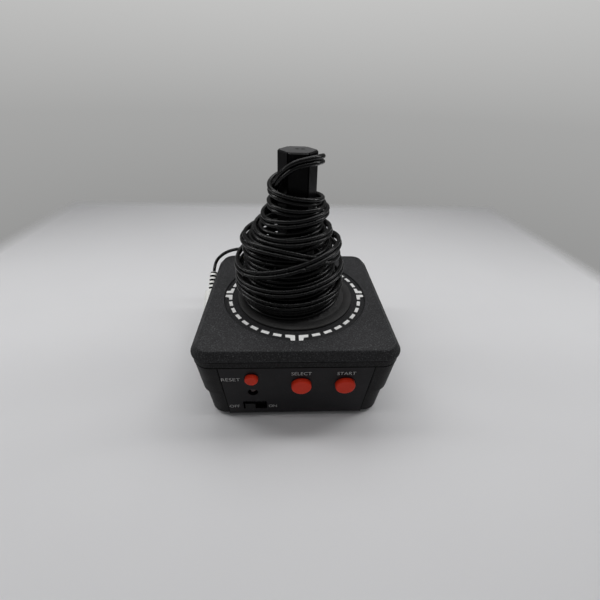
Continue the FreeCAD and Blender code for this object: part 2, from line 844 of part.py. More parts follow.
def make_front_panel():
    body = new_body("front_panel")
    foot_face, top_face = wall_half(case_low), wall_half(seam_level)
    low = new_sketch(body, offset=case_low)
    draw_outline(low, [
        (-panel_foot_half, -foot_face),
        (panel_foot_half, -foot_face),
        (panel_foot_half, panel_wall - foot_face),
        (-panel_foot_half, panel_wall - foot_face),
    ])
    high = new_sketch(body, offset=seam_level)
    draw_outline(high, [
        (-panel_top_half, -top_face),
        (panel_top_half, -top_face),
        (panel_top_half, panel_wall - top_face),
        (-panel_top_half, panel_wall - top_face),
    ])
    loft(body, [low, high])
    openings = new_sketch(body, "XZ_Plane", panel_board_face)
    draw_circle(openings, reset_x, reset_z, small_button_radius + button_gap)
    draw_circle(openings, select_x, large_button_z, large_button_radius + button_gap)
    draw_circle(openings, start_x, large_button_z, large_button_radius + button_gap)
    draw_circle(openings, reset_x, lamp_z, lamp_radius + button_gap)
    draw_rectangle(openings, slot_width / 2, slot_height / 2, slot_x, slot_z)
    pocket(body, openings, cover_half - panel_board_face)
    pegs = new_sketch(body, "XZ_Plane", panel_board_face - board_wall - peg_end)
    for z in (panel_post_low, panel_post_high):
        posts = new_sketch(body, "XZ_Plane", panel_board_face)
        for x in (-panel_post_x, panel_post_x):
            draw_circle(posts, x, z, post_radius)
            draw_circle(pegs, x, z, peg_radius)
        pad(body, posts, wall_half(z) - panel_wall / 2 - panel_board_face)
    pad(body, pegs, board_wall + peg_end)
    return node(body)


def post_places():
    return [(x, z) for x in (-panel_post_x, panel_post_x) for z in (panel_post_low, panel_post_high)]


# Buttons of the panel: cap, flange behind the panel and stem in one piece

def make_panel_button(label, x, z, radius):
    body = new_body(label)
    flange_back = flange_face - flange_wall
    flange = draw_circle(new_sketch(body, "XZ_Plane", flange_back), x, z, radius + button_flange)
    pad(body, flange, flange_wall)
    cap = draw_circle(new_sketch(body, "XZ_Plane", flange_face), x, z, radius)
    pad(body, cap, button_face - flange_face)
    stem_end = panel_board_face + dome_height + button_gap
    stem = draw_circle(new_sketch(body, "XZ_Plane", stem_end), x, z, button_stem_radius)
    pad(body, stem, flange_back - stem_end)
    round_edges(body, button_round, lambda edge: abs(edge.BoundBox.YMax + float(button_face)) < 1e-4)
    return node(body)


def make_dome(label, x, z):
    foot, top = dome_foot_radius, dome_top_radius
    return node(cone(label, foot, top, dome_height, x, -panel_board_face, z, FRONTWARD))


def make_button_board():
    plate = block("board_plate", -panel_board_half, panel_board_half,
                  -panel_board_face, board_wall - panel_board_face, panel_board_low, panel_board_high)
    holes = []
    for x, z in post_places():
        holes.append(rod("peg_hole", peg_radius + screw_gap, board_wall, x, -panel_board_face, z, REARWARD))
    return node(cut("button_board", plate, *holes))


def make_power_lamp():
    body = new_body("power_lamp")
    base = draw_circle(new_sketch(body, "XZ_Plane", panel_board_face), reset_x, lamp_z, lamp_radius)
    pad(body, base, lamp_tip - panel_board_face)
    round_edges(body, lamp_round, lambda edge: abs(edge.BoundBox.YMax + float(lamp_tip)) < 1e-4)
    return node(body)


def make_power_switch():
    half_width, half_height = slot_width / 2 + free_gap, slot_height / 2 + free_gap
    node(block("power_switch_body", slot_x - half_width, slot_x + half_width,
               -panel_board_face - switch_depth, -panel_board_face,
               slot_z - half_height, slot_z + half_height))
    middle = slot_x - knob_travel / 2
    slide = block("switch_slide", middle - slider_half, middle + slider_half,
                  -slider_face, slider_wall - slider_face,
                  slot_z - half_height, slot_z + half_height)
    grip = block("switch_grip", middle - knob_width / 2, middle + knob_width / 2,
                 -knob_face, -slider_face,
                 slot_z - knob_height / 2, slot_z + knob_height / 2)
    node(fuse("power_switch_knob", slide, grip))


# Fire button in the cover, over its own small board

def make_fire_button():
    flange_top = plate_under - free_gap
    flange_low = flange_top - fire_flange_wall
    board_top = fire_board_level + board_wall
    plunger_top = board_top + key_height + plunger_height
    body = new_body("fire_button")
    flange = draw_circle(new_sketch(body, offset=flange_low), fire_x, fire_y, fire_radius + fire_flange)
    pad(body, flange, fire_flange_wall)
    cap = draw_circle(new_sketch(body, offset=flange_top), fire_x, fire_y, fire_radius)
    pad(body, cap, base_height + fire_proud - flange_top)
    stem_end = plunger_top + fire_travel + screw_gap
    pad(body, draw_circle(new_sketch(body, offset=stem_end), fire_x, fire_y, fire_stem_radius),
        flange_low - stem_end)
    round_edges(body, button_round, lambda edge: at_level(edge, base_height + fire_proud))
    node(body)
    plate = block("fire_plate", fire_x - fire_board_left, fire_x + fire_board_right,
                  fire_y - fire_board_front, fire_y + fire_board_rear, fire_board_level, board_top)
    holes = [rod("fire_peg_hole", peg_radius + screw_gap, board_wall, x, y, fire_board_level)
             for x, y in fire_post_places()]
    node(cut("fire_board", plate, *holes))
    node(make_key("fire_switch", fire_x, fire_y, board_top))
    outer = rod("spring_outside", spring_radius, flange_low - board_top, fire_x, fire_y, board_top)
    inner_radius = spring_radius - spring_wire
    inner = rod("spring_inside", inner_radius, flange_low - board_top, fire_x, fire_y, board_top)
    node(cut("fire_return_spring", outer, inner))


def make_key(label, x, y, level):
    """Square push switch with a round plunger."""
    half = key_width / 2
    case = block(label + "_case", x - half, x + half, y - half, y + half, level, level + key_height)
    plunger = rod(label + "_plunger", plunger_radius, plunger_height, x, y, level + key_height)
    return fuse(label, case, plunger)


# Stick: steel core with ball and arms, six-sided grip, pivot ring and holder

def make_stick_core():
    ball = doc.addObject("Part::Sphere", "pivot_ball")
    ball.setExpression("Radius", ball_radius.words)
    place(ball, 0, 0, pivot_level)
    neck = rod("stick_neck", neck_radius, grip_bottom - pivot_level, 0, 0, pivot_level)
    shaft = rod("stick_shaft", core_radius, core_end - grip_bottom, 0, 0, grip_bottom)
    stem = rod("stick_stem", neck_radius, pivot_level - arm_level, 0, 0, arm_level)
    hub = rod("arm_hub", arm_hub_radius, arm_height, 0, 0, arm_level)
    half = arm_width / 2
    arm_top = arm_level + arm_height
    across = block("arms_across", -arm_reach, arm_reach, -half, half, arm_level, arm_top)
    along = block("arms_along", -half, half, -arm_reach, arm_reach, arm_level, arm_top)
    return node(fuse("stick_core", ball, neck, shaft, stem, hub, across, along))


def draw_grip(sketch, radius):
    """Six-sided outline with a narrow flute at each corner."""
    side = flute_width / 2
    rim = radius - side * math.tan(math.radians(30))
    bed = rim - flute_depth
    corners = []
    for step in range(6):
        turn = math.radians(60 * step)
        across, along = round(math.cos(turn), 9), round(math.sin(turn), 9)
        for reach, aside in ((rim, -side), (bed, -side), (bed, side), (rim, side)):
            corners.append((reach * across - aside * along, reach * along + aside * across))
    return draw_outline(sketch, corners)


def make_stick_grip():
    body = new_body("stick_grip")
    loft(body, [
        draw_grip(new_sketch(body, offset=grip_bottom), grip_foot_radius),
        draw_grip(new_sketch(body, offset=stick_top - grip_round), grip_top_radius),
        draw_grip(new_sketch(body, offset=stick_top), grip_top_radius - grip_round),
    ])
    bore = draw_circle(new_sketch(body, offset=grip_bottom), 0, 0, core_radius + core_gap)
    pocket(body, bore, core_end - grip_bottom)
    return node(body)


def ball_space(label, radius):
    item = doc.addObject("Part::Sphere", label)
    item.setExpression("Radius", radius.words)
    return place(item, 0, 0, pivot_level)


def make_pivot_ring():
    low = pivot_level - ring_half_height
    inside = ball_radius + free_gap
    whole = ball_space("ring_outside", inside + ring_wall)
    slab = rod("ring_slab", holder_radius, ring_half_height * 2, 0, 0, low)
    zone = doc.addObject("Part::Common", "ring_zone")
    zone.Base = whole
    zone.Tool = slab
    return node(cut("pivot_ring", zone, ball_space("ring_inside", inside)))


def make_pivot_holder():
    plate_low = hub_top - holder_wall
    socket_radius = ball_radius + ring_wall + free_gap * 2
    hub = rod("holder_hub", socket_radius + hub_wall, hub_half_height * 2, 0, 0, hub_low)
    plate = rod("holder_plate", holder_radius, holder_wall, 0, 0, plate_low)
    holes = [rod("holder_hole", screw_radius + button_gap, holder_wall, x, y, plate_low)
             for x, y in holder_screw_places()]
    socket = ball_space("socket", socket_radius)
    return node(cut("pivot_holder", fuse("holder_whole", hub, plate), socket, *holes))


def make_screws(label, places, seat, end):
    """Round-headed screws whose shank runs up or down from the seat to its end."""
    upward = float(end) > float(seat)
    screws = []
    for x, y in places:
        head = rod("screw_head", head_radius, head_height, x, y, seat - head_height if upward else seat)
        if upward:
            shank = rod("screw_shank", screw_radius, end - seat, x, y, seat)
        else:
            shank = rod("screw_shank", screw_radius, seat - end, x, y, end)
        screws.append(fuse("screw", head, shank))
    return node(group(label, *screws))


# Rubber boot: flange in its seat, snap rim under the plate, ribbed cone, collar

def make_rubber_boot():
    flange_top = seat_floor + seat_depth + flange_proud
    cone_top = flange_top + cone_rise
    collar_top = cone_top + collar_height
    neck = boot_hole_radius - button_gap
    inner_neck = neck - boot_wall
    body = new_body("rubber_boot")
    profile = draw_outline(new_sketch(body, "XZ_Plane"), [
        (flange_radius, seat_floor),
        (flange_radius, flange_top),
        (cone_foot_radius, flange_top),
        (collar_radius, cone_top),
        (collar_radius, collar_top),
        (collar_radius - boot_wall, collar_top),
        (collar_radius - boot_wall, cone_top - boot_wall / 2),
        (inner_neck, flange_top + boot_wall),
        (inner_neck, plate_under - boot_wall),
        (neck + boot_snap, plate_under - boot_wall),
        (neck + boot_snap, plate_under - core_gap),
        (neck, plate_under - core_gap),
        (neck, seat_floor),
    ])
    turn_profile(body, profile)
    rib = draw_outline(new_sketch(body, "XZ_Plane", -rib_width / 2), [
        (cone_foot_radius - boot_wall / 4, flange_top - flange_proud / 2),
        (cone_foot_radius + rib_height, flange_top - flange_proud / 2),
        (collar_radius - boot_wall / 2, cone_top + rib_height),
        (collar_radius - boot_wall / 2, cone_top - boot_wall / 4),
    ])
    first = pad(body, rib, rib_width)
    ribs = body.newObject("PartDesign::PolarPattern", "ribs")
    ribs.Originals = [first]
    for item in body.Origin.OriginFeatures:
        if item.Role == "Z_Axis":
            ribs.Axis = (item, [""])
    ribs.Angle = 360
    ribs.Occurrences = rib_count
    finish(body, ribs)
    return node(body)


# Main board, its four direction switches, and the cells

def make_main_board():
    plate = block("main_plate", -board_half_width, board_half_width, -board_front, board_half_width,
                  board_level, board_level + board_wall)
    holes = [rod("board_hole", screw_radius + button_gap, board_wall, x, y, board_level)
             for x, y in corners_of(board_post_x, board_post_y)]
    node(cut("main_board", plate, *holes))
    top = board_level + board_wall
    places = [(key_radius, 0), (0, key_radius), (-key_radius, 0), (0, -key_radius)]
    keys = [make_key(f"key_{number}", x, y, top) for number, (x, y) in enumerate(places, 1)]
    node(group("direction_switches", *keys))


def make_cells():
    springs, plates = [], []
    inner = bay_half_y - contact_wall
    for number in range(4):
        x = cell_pitch * (number - 1.5)
        # the nub looks to the rear on even cells and to the front on odd ones
        way = 1 if number % 2 == 0 else -1
        turn = REARWARD if way > 0 else FRONTWARD
        start = -way * (inner - spring_length)
        end = start + way * cell_length
        case = rod("cell_case", cell_radius, cell_length, x, start, cell_level, turn)
        nub = rod("cell_nub", cell_nub_radius, cell_nub_length, x, end, cell_level, turn)
        node(fuse(f"battery_{number + 1}", case, nub))
        foot = -way * inner
        outside = rod("coil_outside", contact_spring_radius, spring_length, x, foot, cell_level, turn)
        coil_bore = contact_spring_radius - spring_wire
        inside = rod("coil_inside", coil_bore, spring_length, x, foot, cell_level, turn)
        springs.append(cut("coil", outside, inside))
        for low, high in ((-bay_half_y, -inner), (inner, bay_half_y)):
            plates.append(block("contact", x - contact_half, x + contact_half, low, high,
                                cell_level - contact_half, cell_level + contact_half))
    node(group("contact_springs", *springs))
    node(group("contact_plates", *plates))


def make_door_screw():
    slope = countersink
    head_foot = case_low + core_gap
    head = cone("door_screw_head", screw_radius + slope, screw_radius, slope, 0, door_screw_y, head_foot)
    shank_start = head_foot + slope
    shank_end = floor_top + screw_bite - free_gap
    shank = rod("door_screw_shank", screw_radius, shank_end - shank_start, 0, door_screw_y, shank_start)
    return node(fuse("door_screw", head, shank))


def make_rubber_feet():
    height = foot_height + foot_recess
    feet = [rod("foot", foot_radius, height, x, y, 0) for x, y in corners_of(foot_x, foot_y)]
    return node(group("rubber_feet", *feet))


def make_grommet():
    """Lead grommet: neck in the rear wall, a rim on each side of it."""
    body = new_body("cable_grommet")
    rear = cover_half + strip_inset + screw_gap
    outer_rim = wall_half(grommet_z + grommet_half_height + grommet_rim)
    inner_rim = wall_half(grommet_z - grommet_half_height - grommet_rim) - case_wall
    half_x, half_z = grommet_half_width - core_gap, grommet_half_height - core_gap
    wide_x, wide_z = half_x + grommet_rim, half_z + grommet_rim
    inner_face = inner_rim - grommet_rim
    for low, high, across, upward in (
        (inner_face, inner_rim, wide_x, wide_z),
        (inner_rim, outer_rim, half_x, half_z),
        (outer_rim, rear, wide_x, wide_z),
    ):
        outline = draw_rectangle(new_sketch(body, "XZ_Plane", -high), across, upward, grommet_x, grommet_z)
        pad(body, outline, high - low)
    return node(body)


# Twin lead: two strands side by side, each a root behind the case, a winding
# of twelve turns round the stick, and an end with its plug

turns = 12
tilt_turn = 0.19
samples_per_arc = 8

# (turn, height above the cover): up in one layer, a free loop, down over the first
climb = [(0, 3.9), (2, 20), (4, 35.6), (5.8, 47.5), (6.45, 56.5), (6.88, 72.5),
         (7.25, 64.5), (7.6, 57.5), (8.2, 51), (10, 33), (12, 13.5)]
# (turn, share of one layer's thickness outside the first layer)
layer = [(0, 0), (6.2, 0), (6.9, 0.15), (7.3, 0.95), (8, 1), (12, 1)]
# (turn, slack away from the layer below)
slack = [(0, 0), (6.4, 0), (7.6, 0), (8.9, 0.6), (9.27, 8.5), (9.65, 1),
         (10.3, 1.6), (10.9, 1.6), (11.3, 5), (11.6, 3), (12, 0.6)]


def clamp(value):
    return min(max(value, 0), 1)


def smooth(value):
    return value * value * (3 - 2 * value)


def follow(knots, turn):
    """Smooth value at a turn, through hand-set (turn, value) pairs."""
    last = len(knots) - 1
    place_now = max(n for n in range(last) if n == 0 or knots[n][0] <= turn)

    def slope(n):
        before, after = knots[max(n - 1, 0)], knots[min(n + 1, last)]
        return (after[1] - before[1]) / (after[0] - before[0])

    start, value = knots[place_now]
    end, next_value = knots[place_now + 1]
    width = end - start
    s = (turn - start) / width
    return (
        (1 + 2 * s) * (1 - s) ** 2 * value + s * (1 - s) ** 2 * width * slope(place_now)
        + s * s * (3 - 2 * s) * next_value - s * s * (1 - s) * width * slope(place_now + 1)
    )


def cone_shape(height):
    """Radius of the first layer at a height, and its slope there."""
    foot, head = float(winding_foot), float(winding_head)
    wide, narrow = float(winding_foot_radius), float(winding_head_radius)
    share = clamp((height - foot) / (head - foot))
    radius = narrow + (wide - narrow) * (1 + math.cos(math.pi * share)) / 2
    slope = -(wide - narrow) * math.pi / (head - foot) * math.sin(math.pi * share) / 2
    return radius, slope


def pair_centre(turn):
    """Middle of the twin lead at a turn, and the direction up the cone."""
    angle = math.pi / 2 + 2 * math.pi * turn
    inner = clamp(1 - abs(turn - 3) / 3)
    outer = smooth(clamp(turn - 8) * clamp((turns - turn) / 0.6))
    tilt = float(inner_tilt) * inner + float(outer_tilt) * outer
    height = float(base_height) + follow(climb, turn)
    height += tilt * math.cos(angle - 2 * math.pi * tilt_turn * turn)
    radius, slope = cone_shape(height)
    steep = math.hypot(slope, 1)
    out = float(layer_pitch) * follow(layer, turn)
    radius += out / steep + max(follow(slack, turn), 0)
    height -= out * slope / steep
    away = Vector(math.cos(angle), math.sin(angle), 0)
    up = (away * slope + Vector(0, 0, 1)) / steep
    return away * radius + Vector(0, 0, height), up


def strand_point(turn, side):
    centre, up = pair_centre(turn)
    ahead = direction(lambda value: pair_centre(value)[0], turn)
    up = (up - ahead * up.dot(ahead)).normalize()
    return centre + up * (side * float(pair_pitch) / 2)


def direction(curve, turn):
    step = 0.001
    return (curve(turn + step) - curve(turn - step)).normalize()


def arc_between(start, control, end):
    """Arc from start to end whose two tangents meet at the control point."""
    chord_middle = (start + end) / 2
    half_chord = (end - start).Length / 2
    rise = control - chord_middle
    half_turn = math.atan2(rise.Length, half_chord)
    middle = chord_middle + rise.normalize() * (half_chord * math.tan(half_turn / 2))
    return Part.Arc(start, middle, end).toShape()


def biarc(start, ahead, end, onward):
    """Two arcs that leave start along ahead and reach end along onward."""
    span = end - start
    spread = 2 * ahead.dot(onward) - 2
    reach = span.dot(ahead + onward)
    handle = (reach - math.sqrt(reach * reach - spread * span.dot(span))) / spread
    first, second = start + ahead * handle, end - onward * handle
    meeting = (first + second) / 2
    return [arc_between(start, first, meeting), arc_between(meeting, second, end)]


def winding_edges(side):
    def curve(turn):
        return strand_point(turn, side)

    lead = float(strand_width)
    quarters = turns * 4
    spots = [curve(n / 4) for n in range(quarters + 1)]
    ways = [direction(curve, n / 4) for n in range(quarters + 1)]
    entry, leaving = spots[0] - ways[0] * lead, spots[-1] + ways[-1] * lead
    edges = [Part.LineSegment(entry, spots[0]).toShape()]
    for n in range(quarters):
        edges += biarc(spots[n], ways[n], spots[n + 1], ways[n + 1])
    edges.append(Part.LineSegment(spots[-1], leaving).toShape())
    return edges, entry, -ways[0], leaving, ways[-1]


def bent_edges(label, spots):
    """Straight runs joined by tangent arcs."""
    edges = []
    start = spots[0]
    tightest = math.inf
    for before, corner, after in zip(spots, spots[1:], spots[2:]):
        inward, outward = corner - before, after - corner
        half_turn = inward.getAngle(outward) / 2
        trim = 0.45 * min(inward.Length, outward.Length)
        tightest = min(tightest, trim / math.tan(half_turn))
        first = corner - inward.normalize() * trim
        last = corner + outward.normalize() * trim
        edges.append(Part.LineSegment(start, first).toShape())
        edges.append(arc_between(first, corner, last))
        start = last
    edges.append(Part.LineSegment(start, spots[-1]).toShape())
    print(label, "tightest bend", round(tightest, 2))
    return edges


def make_tube(label, edges):
    """Round strand along a path, its volume checked against its length."""
    path = Part.Wire(edges)
    radius = float(strand_width) / 2
    start = edges[0].valueAt(edges[0].FirstParameter)
    ahead = edges[0].tangentAt(edges[0].FirstParameter)
    section = Part.Wire([Part.Circle(start, ahead, radius).toShape()])
    shape = path.makePipeShell([section], True, False)
    wanted = math.pi * radius * radius * path.Length
    print(label, "length", round(path.Length, 1), "volume share", round(shape.Volume / wanted, 4))
    if abs(shape.Volume / wanted - 1) > 0.01:
        raise RuntimeError(f"{label} has the wrong volume")
    item = doc.addObject("Part::Feature", label)
    item.Shape = shape
    return node(item)


def sample(edges):
    """Points along a path with their distance from its start."""
    spots, run = [], 0
    for edge in edges:
        for spot in edge.discretize(Number=samples_per_arc)[1:]:
            if spots:
                run += (spot - spots[-1][1]).Length
            spots.append((run, spot))
    return spots


def least_gap(first, second, same):
    """Least gap between strands, or between turns of one strand."""
    near = 4 * float(strand_width)
    gap = math.inf
    for run, spot in first:
        for other_run, other in second:
            if same and other_run - run < 4 * near:
                continue
            if abs(spot.z - other.z) < near and abs(spot.x - other.x) < near:
                gap = min(gap, (spot - other).Length)
    return gap - float(strand_width)


def outline_ribs(start, length, radius):
    """Stepped outline of a ribbed strain relief."""
    step = length / (2 * relief_ribs)
    core = radius - strand_width / 4
    corners = []
    for rib in range(relief_ribs):
        low = start + step * (2 * rib)
        corners += [(core, low), (core, low + step), (radius, low + step), (radius, low + step * 2)]
    return corners


def make_plug(kind, foot, way):
    """Phono plug: ribbed grip, metal shell and centre pin, from foot along way."""
    position = FreeCAD.Placement(foot, FreeCAD.Rotation(Vector(0, 0, 1), way))
    grip = new_body(f"{kind}_plug")
    grip_end = relief_length + plug_length
    outline = [(0, 0)] + outline_ribs(Size(0, "0"), relief_length, relief_radius)
    slope = strand_width / 4
    outline += [(plug_radius - slope, relief_length), (plug_radius, relief_length + slope),
                (plug_radius, grip_end), (0, grip_end)]
    turn_profile(grip, draw_outline(new_sketch(grip, "XZ_Plane"), outline))
    grip.Placement = position
    shell = new_body(f"{kind}_plug_shell")
    ring = new_sketch(shell, offset=grip_end)
    draw_circle(ring, 0, 0, shell_radius)
    draw_circle(ring, 0, 0, shell_radius - shell_wall)
    pad(shell, ring, shell_length)
    shell.Placement = position
    pin = new_body(f"{kind}_plug_pin")
    pad(pin, draw_circle(new_sketch(pin, offset=grip_end), 0, 0, pin_radius), pin_length)
    round_edges(pin, pin_radius / 2, lambda edge: at_level(edge, grip_end + pin_length))
    pin.Placement = position
    for item in (grip, shell, pin):
        node(item)


def make_strand(kind, side, root, tail, plug_way):
    """One strand from the grommet to its plug."""
    edges, entry, back, leaving, ahead = winding_edges(side)
    run = float(straight_run)
    cover = Vector(0, 0, float(base_height))
    rear = float(cover_half + strip_inset + screw_gap)
    start = Vector(float(grommet_x + side * strand_spread), rear, float(grommet_z))
    root_spots = [start] + [cover + Vector(*spot) for spot in root] + [entry + back * run, entry]
    plug_foot = cover + Vector(*tail[-1])
    way = Vector(*plug_way).normalize()
    tail_spots = [leaving, leaving + ahead * run] + [cover + Vector(*spot) for spot in tail[:-1]]
    tail_spots += [plug_foot - way * run * 0.9, plug_foot]
    make_tube(f"{kind}_lead_root", bent_edges(f"{kind} root", root_spots))
    make_tube(f"{kind}_winding", edges)
    make_tube(f"{kind}_lead_end", bent_edges(f"{kind} end", tail_spots))
    make_plug(kind, plug_foot, way)
    return sample(edges)


# corners of each strand's free runs: across, along, height above the cover
audio_root = [(6.4, 62, -21.5), (7, 70, -13.5), (9, 69, 0.5), (14, 60, 8.5), (18, 47, 8.5), (17.5, 36, 4.5)]
audio_tail = [(-21, 36, 11), (-34, 42, 9.5), (-46, 46, 5.5), (-53.5, 47, 0), (-56.8, 38.5, -8.3)]
audio_plug_way = (0, -0.83, -0.56)
video_root = [(9.6, 63, -21.5), (10.5, 73, -13), (12.5, 72, 2.5), (17, 61, 12), (21, 48, 12), (20.5, 36.5, 8)]
video_tail = [(-19, 37, 17.5), (-24.5, 46.5, 16), (-28.5, 55.5, 13), (-32, 62, 0.5)]
video_plug_way = (-0.25, 0, -0.97)


def make_leads():
    audio = make_strand("audio", -1, audio_root, audio_tail, audio_plug_way)
    video = make_strand("video", 1, video_root, video_tail, video_plug_way)
    print("least gap of audio to itself", round(least_gap(audio, audio, True), 2))
    print("least gap of video to itself", round(least_gap(video, video, True), 2))
    print("least gap between the strands", round(least_gap(audio, video, False), 2))


# The pieces, base first, then what moves, then the lead

make_top_cover()
make_ring_marks()
make_bottom_case()
make_battery_door()
make_door_screw()
make_front_panel()
make_panel_button("reset_button", reset_x, reset_z, small_button_radius)
make_panel_button("select_button", select_x, large_button_z, large_button_radius)
make_panel_button("start_button", start_x, large_button_z, large_button_radius)
make_dome("reset_dome", reset_x, reset_z)
make_dome("select_dome", select_x, large_button_z)
make_dome("start_dome", start_x, large_button_z)
make_button_board()
make_power_lamp()
make_power_switch()
make_fire_button()
make_stick_core()
make_stick_grip()
make_pivot_ring()
make_pivot_holder()
make_screws("holder_screws", holder_screw_places(), hub_top - holder_wall, plate_under - button_gap)
make_rubber_boot()
make_main_board()
make_cells()
make_screws("case_screws", corners_of(boss_place, boss_place), case_head_level, boss_joint + screw_bite)
board_top = board_level + board_wall
board_screw_end = board_top + button_gap - screw_bite
make_screws("board_screws", corners_of(board_post_x, board_post_y), board_top, board_screw_end)
make_rubber_feet()
make_grommet()
make_leads()

# Every piece is checked and kept as a file of its own

doc.recompute()
for item in doc.Objects:
    if "Invalid" in item.State or "Error" in item.State:
        raise RuntimeError(f"{item.Label} did not build")
names = [item.Label for item in nodes]
if len(set(names)) != len(names):
    raise RuntimeError("two pieces share a name")
for item in nodes:
    shape = item.Shape
    if not shape.isValid() or shape.Volume < 0.1:
        raise RuntimeError(f"{item.Label} is not a sound solid")
    print(item.Label, "solids", len(shape.Solids), "volume", round(shape.Volume, 1))
    shape.exportStep(f"parts/{item.Label}.step")
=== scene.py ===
import math

import bmesh
import bpy
import numpy
from mathutils import Matrix, Vector


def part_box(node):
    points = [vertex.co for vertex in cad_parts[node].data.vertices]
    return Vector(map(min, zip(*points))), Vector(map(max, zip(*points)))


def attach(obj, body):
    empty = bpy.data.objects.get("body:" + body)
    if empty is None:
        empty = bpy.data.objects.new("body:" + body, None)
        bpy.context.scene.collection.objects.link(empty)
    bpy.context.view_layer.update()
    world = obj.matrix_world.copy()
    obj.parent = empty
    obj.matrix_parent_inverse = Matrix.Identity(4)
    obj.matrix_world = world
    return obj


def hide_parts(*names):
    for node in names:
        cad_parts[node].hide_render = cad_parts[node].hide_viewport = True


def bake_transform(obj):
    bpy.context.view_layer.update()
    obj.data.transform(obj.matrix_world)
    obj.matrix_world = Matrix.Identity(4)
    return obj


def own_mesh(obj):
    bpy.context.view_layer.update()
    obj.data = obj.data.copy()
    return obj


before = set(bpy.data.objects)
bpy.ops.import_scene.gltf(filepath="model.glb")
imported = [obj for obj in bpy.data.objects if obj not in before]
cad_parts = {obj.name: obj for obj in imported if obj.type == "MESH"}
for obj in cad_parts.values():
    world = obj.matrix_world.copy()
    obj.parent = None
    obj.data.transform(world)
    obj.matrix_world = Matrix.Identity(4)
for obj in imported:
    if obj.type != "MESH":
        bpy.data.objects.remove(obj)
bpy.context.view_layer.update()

# Plug and play game controller, dressed for the render

# Lengths are in millimetres, and MM turns them into metres
MM = 0.001
scene = bpy.context.scene


def mm(*lengths):
    return Vector([length * MM for length in lengths])


# Sizes of the CAD pieces that the drawn ones meet

CONE_FOOT_RADIUS = 25.5
COLLAR_RADIUS = 12.4
CONE_RISE = 12.5
COLLAR_RISE = 3.5
FLANGE_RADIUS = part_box("rubber_boot")[1][0] / MM
COLLAR_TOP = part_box("rubber_boot")[1][2] / MM
CONE_TOP = COLLAR_TOP - COLLAR_RISE
FLANGE_TOP = CONE_TOP - CONE_RISE

PANEL_LEAN = 0.068
PANEL_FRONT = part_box("front_panel")[0][1] / MM
PANEL_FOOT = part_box("front_panel")[0][2] / MM
PANEL_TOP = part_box("front_panel")[1][2] / MM
PANEL_TOP_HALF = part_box("front_panel")[1][0] / MM
PANEL_FOOT_HALF = max(spot.co.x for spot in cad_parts["front_panel"].data.vertices
                      if spot.co.z / MM < PANEL_FOOT + 0.5) / MM

COVER_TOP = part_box("top_cover")[1][2] / MM
GRIP_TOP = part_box("stick_grip")[1][2] / MM

# Where each lead enters the relief of its plug, and the way that the plug points
PLUG_LINES = {
    "audio": ((-56.8, 38.5, 43.2), (0, -0.83, -0.56)),
    "video": ((-32, 62, 52), (-0.25, 0, -0.97)),
}
RELIEF_LENGTH = 15


# Camera and view

CAMERA_PLACE = mm(-5.84, -156.05, 157.05)
CAMERA_YAW = 0.058
CAMERA_PITCH = 0.616
CAMERA_ROLL = 0.033
FOCAL_LENGTH = 18.59
SENSOR_WIDTH = 36
NEAREST_SEEN = 10


def make_camera():
    data = bpy.data.cameras.new("camera")
    data.lens = FOCAL_LENGTH
    data.sensor_width = SENSOR_WIDTH
    data.clip_start = NEAREST_SEEN * MM
    camera = bpy.data.objects.new("camera", data)
    scene.collection.objects.link(camera)
    level = math.cos(CAMERA_PITCH)
    ahead = Vector((math.sin(CAMERA_YAW) * level, math.cos(CAMERA_YAW) * level, -math.sin(CAMERA_PITCH)))
    right = Vector((math.cos(CAMERA_YAW), -math.sin(CAMERA_YAW), 0))
    upward = right.cross(ahead)
    turned_right = right * math.cos(CAMERA_ROLL) + upward * math.sin(CAMERA_ROLL)
    turned_up = upward * math.cos(CAMERA_ROLL) - right * math.sin(CAMERA_ROLL)
    axes = Matrix((turned_right, turned_up, -ahead)).transposed()
    camera.matrix_world = Matrix.Translation(CAMERA_PLACE) @ axes.to_4x4()
    scene.camera = camera


# Node helpers for the materials

# Range of the noise that most surfaces use
MIDDLE_NOISE = (0.3, 0.7)


def new_material(name):
    material = bpy.data.materials.new(name)
    material.use_nodes = True
    tree = material.node_tree
    shader = tree.nodes["Principled BSDF"]
    return material, tree, shader


def add(tree, kind, **values):
    """A new node, with values for its inputs and its settings."""
    node = tree.nodes.new(kind)
    for key, value in values.items():
        if key in node.inputs:
            node.inputs[key].default_value = value
        else:
            setattr(node, key, value)
    return node


def noise(tree, scale, detail=4.0, roughness=0.6):
    place = add(tree, "ShaderNodeTexCoord")
    texture = add(tree, "ShaderNodeTexNoise", Scale=scale, Detail=detail, Roughness=roughness)
    tree.links.new(place.outputs["Object"], texture.inputs["Vector"])
    return texture.outputs["Fac"]


def spread(tree, value, low, high, low_to=0.0, high_to=1.0):
    """The value moved from the range low to high into the range low_to to high_to."""
    ranged = add(tree, "ShaderNodeMapRange")
    ranged.inputs["From Min"].default_value = low
    ranged.inputs["From Max"].default_value = high
    ranged.inputs["To Min"].default_value = low_to
    ranged.inputs["To Max"].default_value = high_to
    tree.links.new(value, ranged.inputs["Value"])
    return ranged.outputs["Result"]


def blend_colours(tree, share, first, second):
    """Mix of two colours, where the first may be another node's output."""
    mix = add(tree, "ShaderNodeMix", data_type="RGBA")
    if isinstance(first, tuple):
        mix.inputs["A"].default_value = (*first, 1)
    else:
        tree.links.new(first, mix.inputs["A"])
    mix.inputs["B"].default_value = (*second, 1)
    tree.links.new(share, mix.inputs["Factor"])
    return mix.outputs["Result"]


def bump(tree, shader, height, strength, depth):
    node = add(tree, "ShaderNodeBump", Strength=strength, Distance=depth * MM)
    tree.links.new(height, node.inputs["Height"])
    tree.links.new(node.outputs["Normal"], shader.inputs["Normal"])


